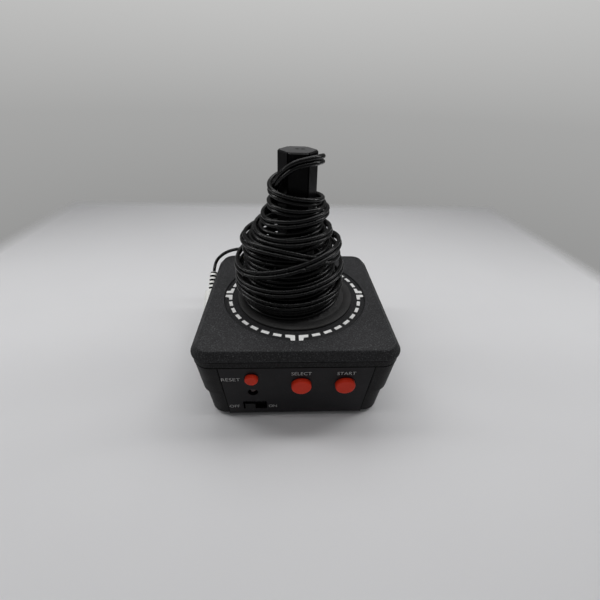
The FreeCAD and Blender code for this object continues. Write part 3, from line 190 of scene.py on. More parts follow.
def place_parts(tree, kind="Object"):
    """The three parts of a spot's place, in metres, or of the line of sight for the world."""
    place = add(tree, "ShaderNodeTexCoord")
    parts = add(tree, "ShaderNodeSeparateXYZ")
    tree.links.new(place.outputs[kind], parts.inputs["Vector"])
    return parts.outputs["X"], parts.outputs["Y"], parts.outputs["Z"]


def calculate(tree, operation, *values):
    node = add(tree, "ShaderNodeMath", operation=operation)
    for socket, value in zip(node.inputs, values):
        if isinstance(value, (int, float)):
            socket.default_value = value
        else:
            tree.links.new(value, socket)
    return node.outputs["Value"]


def calculate_vector(tree, operation, vector, other=(0, 0, 0), answer="Vector"):
    """Answer of a vector node: a vector, or a value for a length or a dot product."""
    node = add(tree, "ShaderNodeVectorMath", operation=operation)
    tree.links.new(vector, node.inputs[0])
    node.inputs[1].default_value = other
    return node.outputs[answer]


# Painted shadow along the seams and grooves between the mouldings, which reads as dark lines, and painted
# shade on the cover's strip and bevel

SEAM_LEVEL = PANEL_TOP
GROOVE_MIDDLE = SEAM_LEVEL + 4.2
GROOVE_HALF = 0.42
STRIP_SHADE = 0.5
BEVEL_TOP = COVER_TOP - 0.35
BEVEL_SHADE = 0.3
SEAM_SHADOW = 0.55
SIDE_SHADOW = 0.42
# Near-black that every painted shadow and shade blends towards
PAINTED_SHADOW_BLACK = (0.0006, 0.0006, 0.0007)
SEAM_SHINE = 0.02


def cover_painted_shade(tree):
    """Painted shadow in the groove and along the lower edge, and painted shade that makes the strip and the
    bevel darker than the flat top.
    """
    height = place_parts(tree)[2]
    groove = calculate(tree, "COMPARE", height, GROOVE_MIDDLE * MM, GROOVE_HALF * MM)
    strip = calculate(tree, "LESS_THAN", height, GROOVE_MIDDLE * MM)
    bevel = calculate(tree, "LESS_THAN", height, BEVEL_TOP * MM)
    shaded = calculate(tree, "MAXIMUM", groove, calculate(tree, "MULTIPLY", strip, STRIP_SHADE))
    shaded = calculate(tree, "MAXIMUM", shaded, calculate(tree, "MULTIPLY", bevel, BEVEL_SHADE))
    edge = calculate(tree, "LESS_THAN", height, (SEAM_LEVEL + SEAM_SHADOW) * MM)
    return calculate(tree, "MAXIMUM", shaded, edge)


def case_painted_shadow(tree):
    """Shadow along the top of the case, under the cover."""
    return calculate(tree, "GREATER_THAN", place_parts(tree)[2], (SEAM_LEVEL - SEAM_SHADOW) * MM)


def panel_painted_shadow(tree):
    """Shadow along the two leaning sides and the top of the front panel."""
    across, _, height = place_parts(tree)
    taper = (PANEL_TOP_HALF - PANEL_FOOT_HALF) / (PANEL_TOP - PANEL_FOOT)
    side = calculate(tree, "ABSOLUTE", across)
    side = calculate(tree, "SUBTRACT", side, calculate(tree, "MULTIPLY", height, taper))
    limit = PANEL_FOOT_HALF - PANEL_FOOT * taper - SIDE_SHADOW
    side = calculate(tree, "GREATER_THAN", side, limit * MM)
    return calculate(tree, "MAXIMUM", side, case_painted_shadow(tree))


# Flat top of the grip, with dust and a painted sheen, and painted shade for two small dimples

# Colour of the dust and painted sheen on the grip's flat top
GRIP_DUST_AND_SHEEN = (0.085, 0.085, 0.087)
GRIP_DUST_AND_SHEEN_SCALE = 700
THINNEST_DUST_AND_SHEEN = 0.6
GRIP_FACE = GRIP_TOP - 0.1
DIMPLES_MIDDLE = 1.0
DIMPLE_PLACE = (1.3, 1.0)
DIMPLE_RADIUS = 1.05


def grip_top(tree):
    """One on the flat top of the grip, nought below it."""
    return calculate(tree, "GREATER_THAN", place_parts(tree)[2], GRIP_FACE * MM)


def grip_dimple_shade(tree):
    """Painted shade standing for two small dimples, one on each side of their middle."""
    across, along, _ = place_parts(tree)
    across = calculate(tree, "SUBTRACT", across, DIMPLES_MIDDLE * MM)
    beside = calculate(tree, "SUBTRACT", calculate(tree, "ABSOLUTE", across), DIMPLE_PLACE[0] * MM)
    away = calculate(tree, "SUBTRACT", along, DIMPLE_PLACE[1] * MM)
    beside = calculate(tree, "POWER", calculate(tree, "ABSOLUTE", beside), 2)
    away = calculate(tree, "POWER", calculate(tree, "ABSOLUTE", away), 2)
    near = calculate(tree, "LESS_THAN", calculate(tree, "ADD", beside, away), (DIMPLE_RADIUS * MM) ** 2)
    return calculate(tree, "MULTIPLY", near, grip_top(tree))


def dust_and_sheen_on_top(tree, surface):
    """A thin uneven coat of dust and painted sheen on the flat top of the grip."""
    uneven = spread(tree, noise(tree, GRIP_DUST_AND_SHEEN_SCALE), *MIDDLE_NOISE, THINNEST_DUST_AND_SHEEN, 1)
    dust_and_sheen_share = calculate(tree, "MULTIPLY", grip_top(tree), uneven)
    return blend_colours(tree, dust_and_sheen_share, surface, GRIP_DUST_AND_SHEEN)


# Strain reliefs of the plugs, with painted shade in their slots

SLOT_RADIUS = 2.55
SOLID_END = 0.2


def relief_slot_shade(foot, way):
    """Painted shade on the floors of the slots between the ribs of a plug's strain relief."""
    axis = Vector(way).normalized()

    def slots(tree):
        place = add(tree, "ShaderNodeTexCoord").outputs["Object"]
        offset = calculate_vector(tree, "SUBTRACT", place, mm(*foot))
        aside = calculate_vector(tree, "CROSS_PRODUCT", offset, axis)
        radius = calculate_vector(tree, "LENGTH", aside, answer="Value")
        along = calculate_vector(tree, "DOT_PRODUCT", offset, axis, "Value")
        deep = calculate(tree, "LESS_THAN", radius, SLOT_RADIUS * MM)
        inside = calculate(tree, "LESS_THAN", along, (RELIEF_LENGTH - SOLID_END) * MM)
        past = calculate(tree, "GREATER_THAN", along, SOLID_END * MM)
        return calculate(tree, "MULTIPLY", calculate(tree, "MULTIPLY", deep, inside), past)

    return slots


# Materials

MOTTLE_SCALE = 45
MOTTLE_NOISE = (0.35, 0.7)
MOTTLE_LIFT = 0.001
# Speckle: pits darkened as painted shade, crests lightened as painted highlight
PIT_SCALE = 0.8
PIT_NOISE = (0.42, 0.6)
PIT_SHADE = 0.35
CREST_NOISE = (0.56, 0.7)
CREST_HIGHLIGHT = 3.2
SPECKLE_ROUGHNESS = 0.7
DUST_SCALE = 1500
DUST_NOISE = (0.66, 0.74)
DUST_GREY = (0.35, 0.35, 0.34)
GLOSS_SCALE = 140
GRAIN_STRENGTH = 0.6
METAL_SCALE = 300
METAL_SHADE = 0.8
METAL_GLOSS_SCALE = 900
METAL_GRAIN_SCALE = 2500
METAL_GRAIN_STRENGTH = 0.2
METAL_GRAIN = 0.01

COVER_BLACK = (0.0215, 0.0216, 0.0232)
CASE_BLACK = (0.0066, 0.0062, 0.0070)
PANEL_BLACK = (0.0060, 0.0053, 0.0068)
KNOB_BLACK = (0.004, 0.004, 0.0045)
GRIP_BLACK = (0.0016, 0.0015, 0.0019)
BOOT_BLACK = (0.0260, 0.0256, 0.0256)
LEAD_BLACK = (0.0005, 0.0005, 0.0007)
FOOT_BLACK = (0.015, 0.015, 0.015)
CELL_BLACK = (0.03, 0.03, 0.032)
BUTTON_RED = (0.64, 0.034, 0.012)
LAMP_RED = (0.018, 0.003, 0.003)
MARK_WHITE = (0.78, 0.78, 0.77)
INK_WHITE = (0.50, 0.50, 0.49)
PLUG_WHITE = (0.82, 0.82, 0.79)
PLUG_YELLOW = (0.72, 0.44, 0.02)
NATURAL_WHITE = (0.6, 0.59, 0.55)
SILICONE_GREY = (0.45, 0.45, 0.43)
BOARD_BROWN = (0.16, 0.095, 0.04)
STEEL_GREY = (0.55, 0.55, 0.56)
NICKEL_GREY = (0.72, 0.71, 0.68)


def tinted(colour, factor, lift=0.0):
    return tuple(min(part * factor + lift, 1) for part in colour)


def plastic(name, colour, rough=0.45, grain=0.0, grain_scale=2600, dust=0.0, shine=0.5, tint=1.3,
            speckle=0.0, painted_shade=None, coat=None):
    """Moulded plastic: mottled colour, uneven gloss, moulded-in grain and a little dust."""
    material, tree, shader = new_material(name)
    mottle = spread(tree, noise(tree, MOTTLE_SCALE), *MOTTLE_NOISE)
    surface = blend_colours(tree, mottle, colour, tinted(colour, tint, MOTTLE_LIFT))
    # Speckle: painted shade in dark pits and painted highlight on light crests of the grain
    if speckle:
        texture = noise(tree, grain_scale * PIT_SCALE, 2.0, SPECKLE_ROUGHNESS)
        pits = spread(tree, texture, *PIT_NOISE, 0, speckle)
        surface = blend_colours(tree, pits, surface, tinted(colour, PIT_SHADE))
        texture = noise(tree, grain_scale, 1.0, SPECKLE_ROUGHNESS)
        crests = spread(tree, texture, *CREST_NOISE, 0, speckle)
        surface = blend_colours(tree, crests, surface, tinted(colour, CREST_HIGHLIGHT))
    if dust:
        specks = spread(tree, noise(tree, DUST_SCALE, 2.0), *DUST_NOISE, 0, dust)
        surface = blend_colours(tree, specks, surface, DUST_GREY)
    # Coat, such as the dust and painted sheen on the grip's top
    if coat:
        surface = coat(tree, surface)
    # Painted shadow and shade from the mask, with less gloss where it falls
    if painted_shade:
        shadow = painted_shade(tree)
        surface = blend_colours(tree, shadow, surface, PAINTED_SHADOW_BLACK)
        tree.links.new(spread(tree, shadow, 0, 1, shine, SEAM_SHINE), shader.inputs["Specular IOR Level"])
    tree.links.new(surface, shader.inputs["Base Color"])
    gloss = spread(tree, noise(tree, GLOSS_SCALE), *MIDDLE_NOISE, rough * 0.9, min(rough * 1.12, 1))
    tree.links.new(gloss, shader.inputs["Roughness"])
    shader.inputs["Specular IOR Level"].default_value = shine
    if grain:
        bump(tree, shader, noise(tree, grain_scale, 2.0), GRAIN_STRENGTH, grain)
    return material


def metal(name, colour, rough):
    """Plated metal: a slightly uneven colour and gloss."""
    material, tree, shader = new_material(name)
    mottle = spread(tree, noise(tree, METAL_SCALE), *MIDDLE_NOISE)
    surface = blend_colours(tree, mottle, colour, tinted(colour, METAL_SHADE))
    gloss = spread(tree, noise(tree, METAL_GLOSS_SCALE), *MIDDLE_NOISE, rough * 0.8, rough * 1.3)
    tree.links.new(surface, shader.inputs["Base Color"])
    tree.links.new(gloss, shader.inputs["Roughness"])
    shader.inputs["Metallic"].default_value = 1
    bump(tree, shader, noise(tree, METAL_GRAIN_SCALE, 2.0), METAL_GRAIN_STRENGTH, METAL_GRAIN)
    return material


MATERIALS = {
    "cover": plastic("cover_plastic", COVER_BLACK, rough=0.55, grain=0.22, grain_scale=1700, dust=0.25,
                     shine=0.24, speckle=0.8, painted_shade=cover_painted_shade),
    "case": plastic("case_plastic", CASE_BLACK, rough=0.5, grain=0.12, grain_scale=1900, dust=0.12,
                    shine=0.14, speckle=0.5, painted_shade=case_painted_shadow),
    "panel": plastic("panel_plastic", PANEL_BLACK, rough=0.38, grain=0.02, dust=0.08, shine=0.14,
                     painted_shade=panel_painted_shadow),
    "marks": plastic("mark_white", MARK_WHITE, rough=0.6, grain=0.05, tint=1.1, shine=0.3),
    "red": plastic("button_red", BUTTON_RED, rough=0.3, grain=0.015, tint=1.15, shine=0.12),
    "lamp": plastic("lamp_red", LAMP_RED, rough=0.15, shine=0.4),
    "black": plastic("knob_black", KNOB_BLACK, rough=0.36, grain=0.02, shine=0.16),
    "grip": plastic("grip_black", GRIP_BLACK, rough=0.3, grain=0.02, grain_scale=1800, dust=0.05,
                    shine=0.16, painted_shade=grip_dimple_shade, coat=dust_and_sheen_on_top),
    "boot": plastic("boot_rubber", BOOT_BLACK, rough=0.62, grain=0.08, grain_scale=1900, dust=0.2,
                    shine=0.25, speckle=0.4),
    "lead": plastic("lead_sheath", LEAD_BLACK, rough=0.27, dust=0.02, shine=0.27),
    "natural": plastic("core_plastic", NATURAL_WHITE, rough=0.5, grain=0.02, tint=1.1),
    "silicone": plastic("dome_rubber", SILICONE_GREY, rough=0.5, grain=0.02, tint=1.1),
    "foot": plastic("foot_rubber", FOOT_BLACK, rough=0.8, grain=0.05, shine=0.3),
    "board": plastic("board_laminate", BOARD_BROWN, rough=0.5, grain=0.02),
    "white": plastic("plug_white", PLUG_WHITE, rough=0.35, grain=0.01, tint=1.08,
                     painted_shade=relief_slot_shade(*PLUG_LINES["audio"])),
    "yellow": plastic("plug_yellow", PLUG_YELLOW, rough=0.35, grain=0.01, tint=1.08,
                      painted_shade=relief_slot_shade(*PLUG_LINES["video"])),
    "cell": plastic("cell_sleeve", CELL_BLACK, rough=0.25, shine=0.6),
    "steel": metal("steel", STEEL_GREY, 0.3),
    "nickel": metal("nickel", NICKEL_GREY, 0.18),
    "ink": plastic("print_ink", INK_WHITE, rough=0.7, tint=1.1),
}


# CAD nodes that keep their own mesh: their materials, and the bevels on their edges

NODE_MATERIALS = {
    "cover": ["top_cover"],
    "case": ["bottom_case", "battery_door", "cable_grommet"],
    "marks": ["ring_marks"],
    "red": ["reset_button", "select_button", "start_button", "fire_button"],
    "lamp": ["power_lamp"],
    "black": ["power_switch_knob", "power_switch_body", "fire_switch", "direction_switches"],
    "grip": ["stick_grip"],
    "natural": ["stick_core", "pivot_ring", "pivot_holder"],
    "foot": ["rubber_feet"],
    "board": ["main_board", "button_board", "fire_board"],
    "steel": ["case_screws", "holder_screws", "board_screws", "door_screw", "contact_springs",
              "contact_plates"],
    "cell": ["battery_1", "battery_2", "battery_3", "battery_4"],
    "white": ["audio_plug"],
    "yellow": ["video_plug"],
    "nickel": ["audio_plug_shell", "audio_plug_pin", "video_plug_shell", "video_plug_pin"],
}
SOFT_EDGES = {
    "top_cover": 0.14, "bottom_case": 0.25, "battery_door": 0.2, "stick_grip": 0.25,
    "power_switch_knob": 0.2, "audio_plug": 0.2, "video_plug": 0.2, "cable_grommet": 0.25,
}
SHARP_ANGLE = 35


def dress_nodes():
    for key, names in NODE_MATERIALS.items():
        for name in names:
            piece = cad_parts[name]
            piece.data.materials.clear()
            piece.data.materials.append(MATERIALS[key])


def soften(piece, width, segments=3, harden=True):
    """Round the sharp edges of a piece by a bevel."""
    bevel = piece.modifiers.new("soft_edges", "BEVEL")
    bevel.width = width * MM
    bevel.segments = segments
    bevel.limit_method = "ANGLE"
    bevel.angle_limit = math.radians(SHARP_ANGLE)
    bevel.harden_normals = harden


# Helpers for the drawn pieces

def shape_mesh(name, shape):
    """Mesh of a finished shape, which is then freed."""
    mesh = bpy.data.meshes.new(name)
    shape.to_mesh(mesh)
    shape.free()
    return mesh


def curve_mesh(name, data):
    """Mesh of a curve or a text, which is then removed."""
    carrier = bpy.data.objects.new(name, data)
    scene.collection.objects.link(carrier)
    bpy.context.view_layer.update()
    depsgraph = bpy.context.evaluated_depsgraph_get()
    mesh = bpy.data.meshes.new_from_object(carrier.evaluated_get(depsgraph))
    bpy.data.objects.remove(carrier)
    bpy.data.curves.remove(data)
    return mesh


def finish_piece(name, mesh, material, body=None, smooth=True):
    """Link a mesh as a piece, give it its material and let it ride on a body."""
    if smooth:
        for face in mesh.polygons:
            face.use_smooth = True
    piece = bpy.data.objects.new(name, mesh)
    scene.collection.objects.link(piece)
    mesh.materials.append(material)
    if body:
        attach(piece, body)
    return piece


# Twin lead: two strands wound side by side

STRAND = 2.2
TURNS = 18
STEPS = 24
START_ANGLE = math.pi / 2
PAIR_PITCH = 2.4
LAYER_PITCH = 2.5
FOOT_HEIGHT = 56.5
HEAD_HEIGHT = 111.5
FOOT_RADIUS = 27.2
HEAD_RADIUS = 11.6

# Each curve of the winding: turn from its start, then the value there
CLIMB = [(0, 55.6), (0.5, 56.2), (1, 58.8), (2, 63), (3, 67.2), (4, 71.6), (5, 76.4), (6, 81.6),
         (7, 87.2), (8, 93), (8.8, 97.8), (9.1, 103), (9.25, 111), (9.36, 120), (9.5, 127),
         (9.75, 127.6), (10, 120.5), (10.25, 114.5), (10.5, 111), (10.75, 108.5), (11.25, 106.6),
         (11.75, 104.5), (12.25, 102), (12.5, 101.8), (13, 98), (13.5, 93.8), (14, 89.5),
         (14.25, 86.5), (14.5, 87.5), (14.75, 80.5), (15, 80), (15.5, 81), (16, 76), (16.5, 71),
         (17.5, 64.5), (18, 62)]
LAYER = [(0, 0), (9.2, 0), (9.9, 0.15), (10.3, 0.95), (11, 1), (18, 1)]
SLACK = [(0, 0), (0.5, 2), (1.5, 2), (2.5, 1.2), (3.5, 0.4), (4.25, 2), (4.5, 0.6), (4.75, 2.5),
         (5.25, 3), (5.5, 0.3), (5.8, 4), (6.25, 6), (6.5, 0.4), (6.78, 5), (7.25, 7.3), (7.4, 4),
         (7.55, 1), (7.8, 4.5), (8.25, 4.6), (8.4, 3.4), (8.52, 1), (8.75, 2.2), (9, 0.2), (9.3, 0.2),
         (9.75, 1.6), (10.25, 1.2), (10.6, 0.5), (11.2, 0.9), (11.5, 0.4), (11.75, 0.6), (12, 1.5),
         (12.15, 2.2), (12.25, 2.2), (12.5, 1), (12.8, 3.2), (13.1, 3), (13.25, 3.4), (13.5, 1.5),
         (13.75, 3.5), (14, 4), (14.1, 6), (14.25, 7.3), (14.5, 3), (14.75, 6), (15, 6), (15.25, 5),
         (15.5, 2.5), (15.8, 6.8), (16.2, 3.5), (16.5, 2.5), (16.8, 5), (17.2, 3), (18, 1)]
TILT = [(0, 1), (4, 2), (8, 1.5), (9.2, 0), (11.2, 0), (12.5, 3), (13.5, 3), (14.3, 1.5), (14.8, 3),
        (15.4, 7), (16.5, 4.5), (17.3, 3), (18, 0)]
HEADING = [(0, 60), (7, 100), (9, 100), (11.2, 40), (13.5, 40), (14.3, 170), (15.2, 20), (16.5, 20),
           (18, 90)]
# The whole winding leans a little to the left: height, then the shift there
LEAN = [(50, -2.2), (75, -3.6), (90, -2.8), (105, -0.6), (130, 0)]
NUDGE = 0.01


def clamp(value, low=0, high=1):
    return min(max(value, low), high)


def follow(knots, place):
    """Smooth value at a place, through the given (place, value) pairs."""
    last = len(knots) - 1
    here = max(n for n in range(last) if n == 0 or knots[n][0] <= place)

    def slope(n):
        before, after = knots[max(n - 1, 0)], knots[min(n + 1, last)]
        return (after[1] - before[1]) / (after[0] - before[0])

    start, value = knots[here]
    end, next_value = knots[here + 1]
    width = end - start
    share = (place - start) / width
    rest = 1 - share
    return (
        (1 + 2 * share) * rest ** 2 * value + share * rest ** 2 * width * slope(here)
        + share * share * (3 - 2 * share) * next_value - share * share * rest * width * slope(here + 1)
    )


def cone_shape(height):
    """Radius of the first layer at a height, and its slope there."""
    share = clamp((height - FOOT_HEIGHT) / (HEAD_HEIGHT - FOOT_HEIGHT))
    fall = FOOT_RADIUS - HEAD_RADIUS
    radius = HEAD_RADIUS + fall * (1 + math.cos(math.pi * share)) / 2
    slope = -fall * math.pi / (HEAD_HEIGHT - FOOT_HEIGHT) * math.sin(math.pi * share) / 2
    return radius, slope


def laid_strand(side):
    """Radius and height of one strand at each step, before the turns press on each other."""
    places = []
    for n in range(TURNS * STEPS + 1):
        turn = n / STEPS
        angle = START_ANGLE + 2 * math.pi * turn
        heading = math.radians(follow(HEADING, turn))
        height = follow(CLIMB, turn) + follow(TILT, turn) * math.cos(angle - heading)
        radius, slope = cone_shape(height)
        steep = math.hypot(slope, 1)
        near, far = max(turn - NUDGE, 0), min(turn + NUDGE, TURNS)
        rise = (follow(CLIMB, far) - follow(CLIMB, near)) / (2 * NUDGE * 2 * math.pi * radius)
        aside = side * PAIR_PITCH / 2 * math.hypot(1, rise)
        out = LAYER_PITCH * follow(LAYER, turn)
        radius += out / steep + max(follow(SLACK, turn), 0) + aside * slope / steep
        height += (aside - out * slope) / steep
        places.append((radius, height))
    return numpy.array(places)


# How the turns press on each other, and what they can't sink into
PRESS_ROUNDS = 160
TOUCH = STRAND + 0.12
PULL = 0.015
PULLED_SHARE = 0.6
PUSH_SHARE = 0.35
OUTWARD = 1.5
EVENNESS = 0.35
PAIR_REACH = 3.2
PAIR_HOLD = 0.25
STICK_ROOM = 11.2
CONE_ROOM = 2.4
COLLAR_ROOM = 1.5
LAYER_SOFTNESS = 0.6
LOWEST_STRAND = 53.4
TINY = 1e-9


def inner_room(heights):
    """Smallest radius that the stick, the boot and the first layer leave at each height."""
    boot = COLLAR_RADIUS + CONE_ROOM + (CONE_TOP - heights) * (CONE_FOOT_RADIUS - COLLAR_RADIUS) / CONE_RISE
    boot = numpy.where(heights < COLLAR_TOP, numpy.maximum(boot, COLLAR_RADIUS + COLLAR_ROOM), 0)
    layer = numpy.array([[cone_shape(height)[0] - LAYER_SOFTNESS for height in row] for row in heights])
    return numpy.maximum(numpy.maximum(boot, layer), STICK_ROOM)


def pushes(strands):
    """Moves of the strands where they touch at the same angle, with later turns going outward."""
    moves = numpy.zeros_like(strands)
    for first in range(STEPS):
        chosen = numpy.arange(first, strands.shape[1], STEPS)
        order = numpy.tile(numpy.arange(len(chosen)), 2)
        spots = strands[:, chosen].reshape(-1, 2)
        apart = spots[:, None] - spots[None]
        distance = numpy.hypot(apart[..., 0], apart[..., 1]) + TINY
        overlap = numpy.clip(TOUCH - distance, 0, None)
        numpy.fill_diagonal(overlap, 0)
        apart[..., 0] += OUTWARD * numpy.sign(order[:, None] - order[None])
        apart /= numpy.hypot(apart[..., 0], apart[..., 1])[..., None] + TINY
        push = (apart * overlap[..., None]).sum(1)
        moves[:, chosen] += PUSH_SHARE * push.reshape(2, len(chosen), 2)
    return moves


def pressed_strands():
    """Both strands after their turns have pressed each other aside, later turns passing outside."""
    strands = numpy.stack([laid_strand(-1), laid_strand(1)])
    laid = strands.copy()
    for sweep in range(PRESS_ROUNDS):
        if sweep < PRESS_ROUNDS * PULLED_SHARE:
            strands[:, :, 0] -= PULL
        moved = strands + pushes(strands) - laid
        moved[:, 1:-1] += EVENNESS * ((moved[:, :-2] + moved[:, 2:]) / 2 - moved[:, 1:-1])
        strands = laid + moved
        across = strands[1] - strands[0]
        reach = numpy.hypot(across[:, 0], across[:, 1])
        closer = (numpy.clip(reach - PAIR_REACH, 0, None) * PAIR_HOLD / reach)[:, None] * across
        strands[0] += closer
        strands[1] -= closer
        strands[:, :, 0] = numpy.maximum(strands[:, :, 0], inner_room(strands[:, :, 1]))
        strands[:, :, 1] = numpy.maximum(strands[:, :, 1], LOWEST_STRAND)
        strands[:, 0] = laid[:, 0]
        strands[:, -1] = laid[:, -1]
    return {"audio": strands[0], "video": strands[1]}


def wound_points(places):
    points = []
    for n, (radius, height) in enumerate(places):
        angle = START_ANGLE + 2 * math.pi * n / STEPS
        lean = follow(LEAN, clamp(height, LEAN[0][0], LEAN[-1][0]))
        points.append(Vector((radius * math.cos(angle) + lean, radius * math.sin(angle), height)))
    return points


# Loose runs of each strand: from the grommet up to the winding, and from the winding to the plug
ROOTS = {
    "audio": [(6.4, 53.1, 30), (6.4, 62, 30), (7, 70, 38), (9, 69, 52), (14, 60, 60), (18, 47, 60),
              (17.5, 36, 56)],
    "video": [(9.6, 53.1, 30), (9.6, 63, 30), (10.5, 73, 38.5), (12.5, 72, 54), (17, 61, 63.5),
              (21, 48, 63.5), (20.5, 36.5, 59.5)],
}
TAILS = {
    "audio": [(-21, 36, 62.5), (-34, 42, 61), (-46, 46, 57), (-53.5, 47, 51.5), (-56.8, 44.3, 47.2)],
    "video": [(-19, 37, 69), (-24.5, 46.5, 67.5), (-28.5, 55.5, 64.5), (-30.2, 62, 59)],
}
LINE_RESOLUTION = 4


def strand_route(kind, places):
    """Control points of one strand, from the grommet to its plug, in millimetres."""
    root = [Vector(spot) for spot in ROOTS[kind]]
    tail = [Vector(spot) for spot in TAILS[kind]]
    plug = Vector(PLUG_LINES[kind][0])
    return [*root, *wound_points(places), *tail, plug]


def smooth_line(name, route):
    """Points of the smooth curve that has the route as its control points."""
    data = bpy.data.curves.new(name, "CURVE")
    data.dimensions = "3D"
    data.resolution_u = LINE_RESOLUTION
    spline = data.splines.new("NURBS")
    spline.points.add(len(route) - 1)
    for point, spot in zip(spline.points, route):
        point.co = (*(spot * MM), 1)
    spline.order_u = 3
    spline.use_endpoint_u = True
    mesh = curve_mesh(name, data)
    line = [vertex.co.copy() for vertex in mesh.vertices]
    bpy.data.meshes.remove(mesh)
    return line


def tube_mesh(name, line, radius, sides=10):
    """Round tube along a line of points, with flat ends."""
    shape = bmesh.new()
    rings = []
    ahead = (line[1] - line[0]).normalized()
    aside = ahead.orthogonal().normalized()
    for n, spot in enumerate(line):
        following = line[min(n + 1, len(line) - 1)]
        before = line[max(n - 1, 0)]
        ahead = (following - before).normalized()
        aside = (aside - ahead * aside.dot(ahead)).normalized()
        across = ahead.cross(aside)
        ring = []
        for step in range(sides):
            turn = 2 * math.pi * step / sides
            ring.append(shape.verts.new(spot + (aside * math.cos(turn) + across * math.sin(turn)) * radius))
        rings.append(ring)
    for ring, following in zip(rings, rings[1:]):
        for step in range(sides):
            after = (step + 1) % sides
            shape.faces.new((ring[step], ring[after], following[after], following[step]))
    shape.faces.new(list(reversed(rings[0])))
    shape.faces.new(rings[-1])
    return shape_mesh(name, shape)


def line_length(line):
    return sum((after - before).length for before, after in zip(line, line[1:]))


# Height where the lead is cut into stretches, and the shortest stretch that stands alone
LEAD_HALFWAY = 82
SHORTEST_STRETCH = 45


def stretches_of(line):
    """The line, cut where it crosses the halfway height; a short stretch stays with its neighbours."""
    halfway = LEAD_HALFWAY * MM
    cuts = [n for n in range(1, len(line)) if (line[n].z > halfway) != (line[n - 1].z > halfway)]
    ends = [0]
    n = 0
    while n < len(cuts):
        if n + 1 < len(cuts) and line_length(line[cuts[n]:cuts[n + 1] + 1]) < SHORTEST_STRETCH * MM:
            n += 2
            continue
        ends.append(cuts[n])
        n += 1
    ends.append(len(line) - 1)
    return [line[start:end + 1] for start, end in zip(ends, ends[1:])]


def make_lead(kind, places):
    line = smooth_line(f"{kind}_route", strand_route(kind, places))
    stretches = stretches_of(line)
    for n, path in enumerate(stretches):
        tube = tube_mesh("strand", path, STRAND / 2 * MM)
        piece = finish_piece(f"{kind}_strand_{n + 1}", tube, MATERIALS["lead"])
        if path[len(path) // 2].z > LEAD_HALFWAY * MM:
            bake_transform(piece)
        else:
            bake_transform(piece)
        if n == 0:
            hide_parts(f"{kind}_lead_root", f"{kind}_winding", f"{kind}_lead_end")


# Rubber boot: flange, ribbed cone and collar, in two pieces

RIB_COUNT = 24
RIB_HEIGHT = 0.9
RIB_SHARE = 0.13
BOOT_STEPS = RIB_COUNT * 12
BOOT_WALL = 1.2
BOOT_CUT = 58.2


def lathe_mesh(name, outline, steps, swell):
    """Closed ring turned from an outline of (radius, height, swells); swell(angle) adds to the radius."""
    shape = bmesh.new()
    rings = []
    for step in range(steps):
        angle = 2 * math.pi * step / steps
        ring = []
        for radius, height, swells in outline:
            grown = radius + (swell(angle) if swells else 0)
            ring.append(shape.verts.new(mm(grown * math.cos(angle), grown * math.sin(angle), height)))
        rings.append(ring)
    for n, ring in enumerate(rings):
        after = rings[(n + 1) % steps]
        for low in range(len(outline)):
            high = (low + 1) % len(outline)
            shape.faces.new((ring[low], after[low], after[high], ring[high]))
    bmesh.ops.recalc_face_normals(shape, faces=shape.faces)
    return shape_mesh(name, shape)


def rib_height(angle):
    """Height of the boot's skin over its cone: narrow round ribs with plain cone between them."""
    across = (angle * RIB_COUNT / (2 * math.pi) + 0.5) % 1 - 0.5
    return RIB_HEIGHT * math.exp(-((across / RIB_SHARE) ** 4))


def make_boot():
    share = (CONE_TOP - BOOT_CUT) / CONE_RISE
    cut_radius = COLLAR_RADIUS + (CONE_FOOT_RADIUS - COLLAR_RADIUS) * share
    inner_foot = CONE_FOOT_RADIUS - 3.2
    lip = COLLAR_RADIUS + 0.25
    lower = [
        (FLANGE_RADIUS, FLANGE_TOP - 1.7, False), (FLANGE_RADIUS, FLANGE_TOP - 0.45, False),
        (FLANGE_RADIUS - 0.13, FLANGE_TOP - 0.13, False), (FLANGE_RADIUS - 0.45, FLANGE_TOP, False),
        (CONE_FOOT_RADIUS + 4.2, FLANGE_TOP, False), (CONE_FOOT_RADIUS + 3.9, FLANGE_TOP - 0.25, False),
        (CONE_FOOT_RADIUS + 3.3, FLANGE_TOP - 0.25, False), (CONE_FOOT_RADIUS + 3.0, FLANGE_TOP, False),
        (CONE_FOOT_RADIUS + 1.6, FLANGE_TOP + 0.05, False), (CONE_FOOT_RADIUS + 0.7, FLANGE_TOP + 0.3, True),
        (CONE_FOOT_RADIUS - 0.3, FLANGE_TOP + 1.0, True),
        ((CONE_FOOT_RADIUS + cut_radius) / 2 - 0.3, (FLANGE_TOP + BOOT_CUT) / 2 + 0.2, True),
        (cut_radius, BOOT_CUT, True), (cut_radius - BOOT_WALL, BOOT_CUT, False),
        (inner_foot, FLANGE_TOP + 0.6, False), (inner_foot - 0.4, FLANGE_TOP - 1.7, False),
    ]
    upper = [
        (cut_radius, BOOT_CUT, True), (COLLAR_RADIUS + 1.1, CONE_TOP - 1.0, True),
        (lip, CONE_TOP, True), (COLLAR_RADIUS, CONE_TOP + 0.7, False),
        (COLLAR_RADIUS, COLLAR_TOP - 1.3, False), (lip, COLLAR_TOP - 1.0, False),
        (lip, COLLAR_TOP - 0.35, False), (COLLAR_RADIUS, COLLAR_TOP, False),
        (COLLAR_RADIUS - BOOT_WALL, COLLAR_TOP, False), (COLLAR_RADIUS - BOOT_WALL, CONE_TOP, False),
        (cut_radius - BOOT_WALL, BOOT_CUT, False),
    ]
    low = finish_piece("boot_skirt", lathe_mesh("boot", lower, BOOT_STEPS, rib_height), MATERIALS["boot"])
    high = finish_piece("boot_neck", lathe_mesh("boot", upper, BOOT_STEPS, rib_height), MATERIALS["boot"])
    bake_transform(low)
    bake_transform(high)
    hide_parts("rubber_boot")


# Front panel, with its foot rounded like the foot of the case

PANEL_ROUNDING = 2.4
ROUNDING_CUTS = (0.3, 0.6, 1.0)
ROUNDED_DEPTH = 4
PANEL_EDGE = 0.15


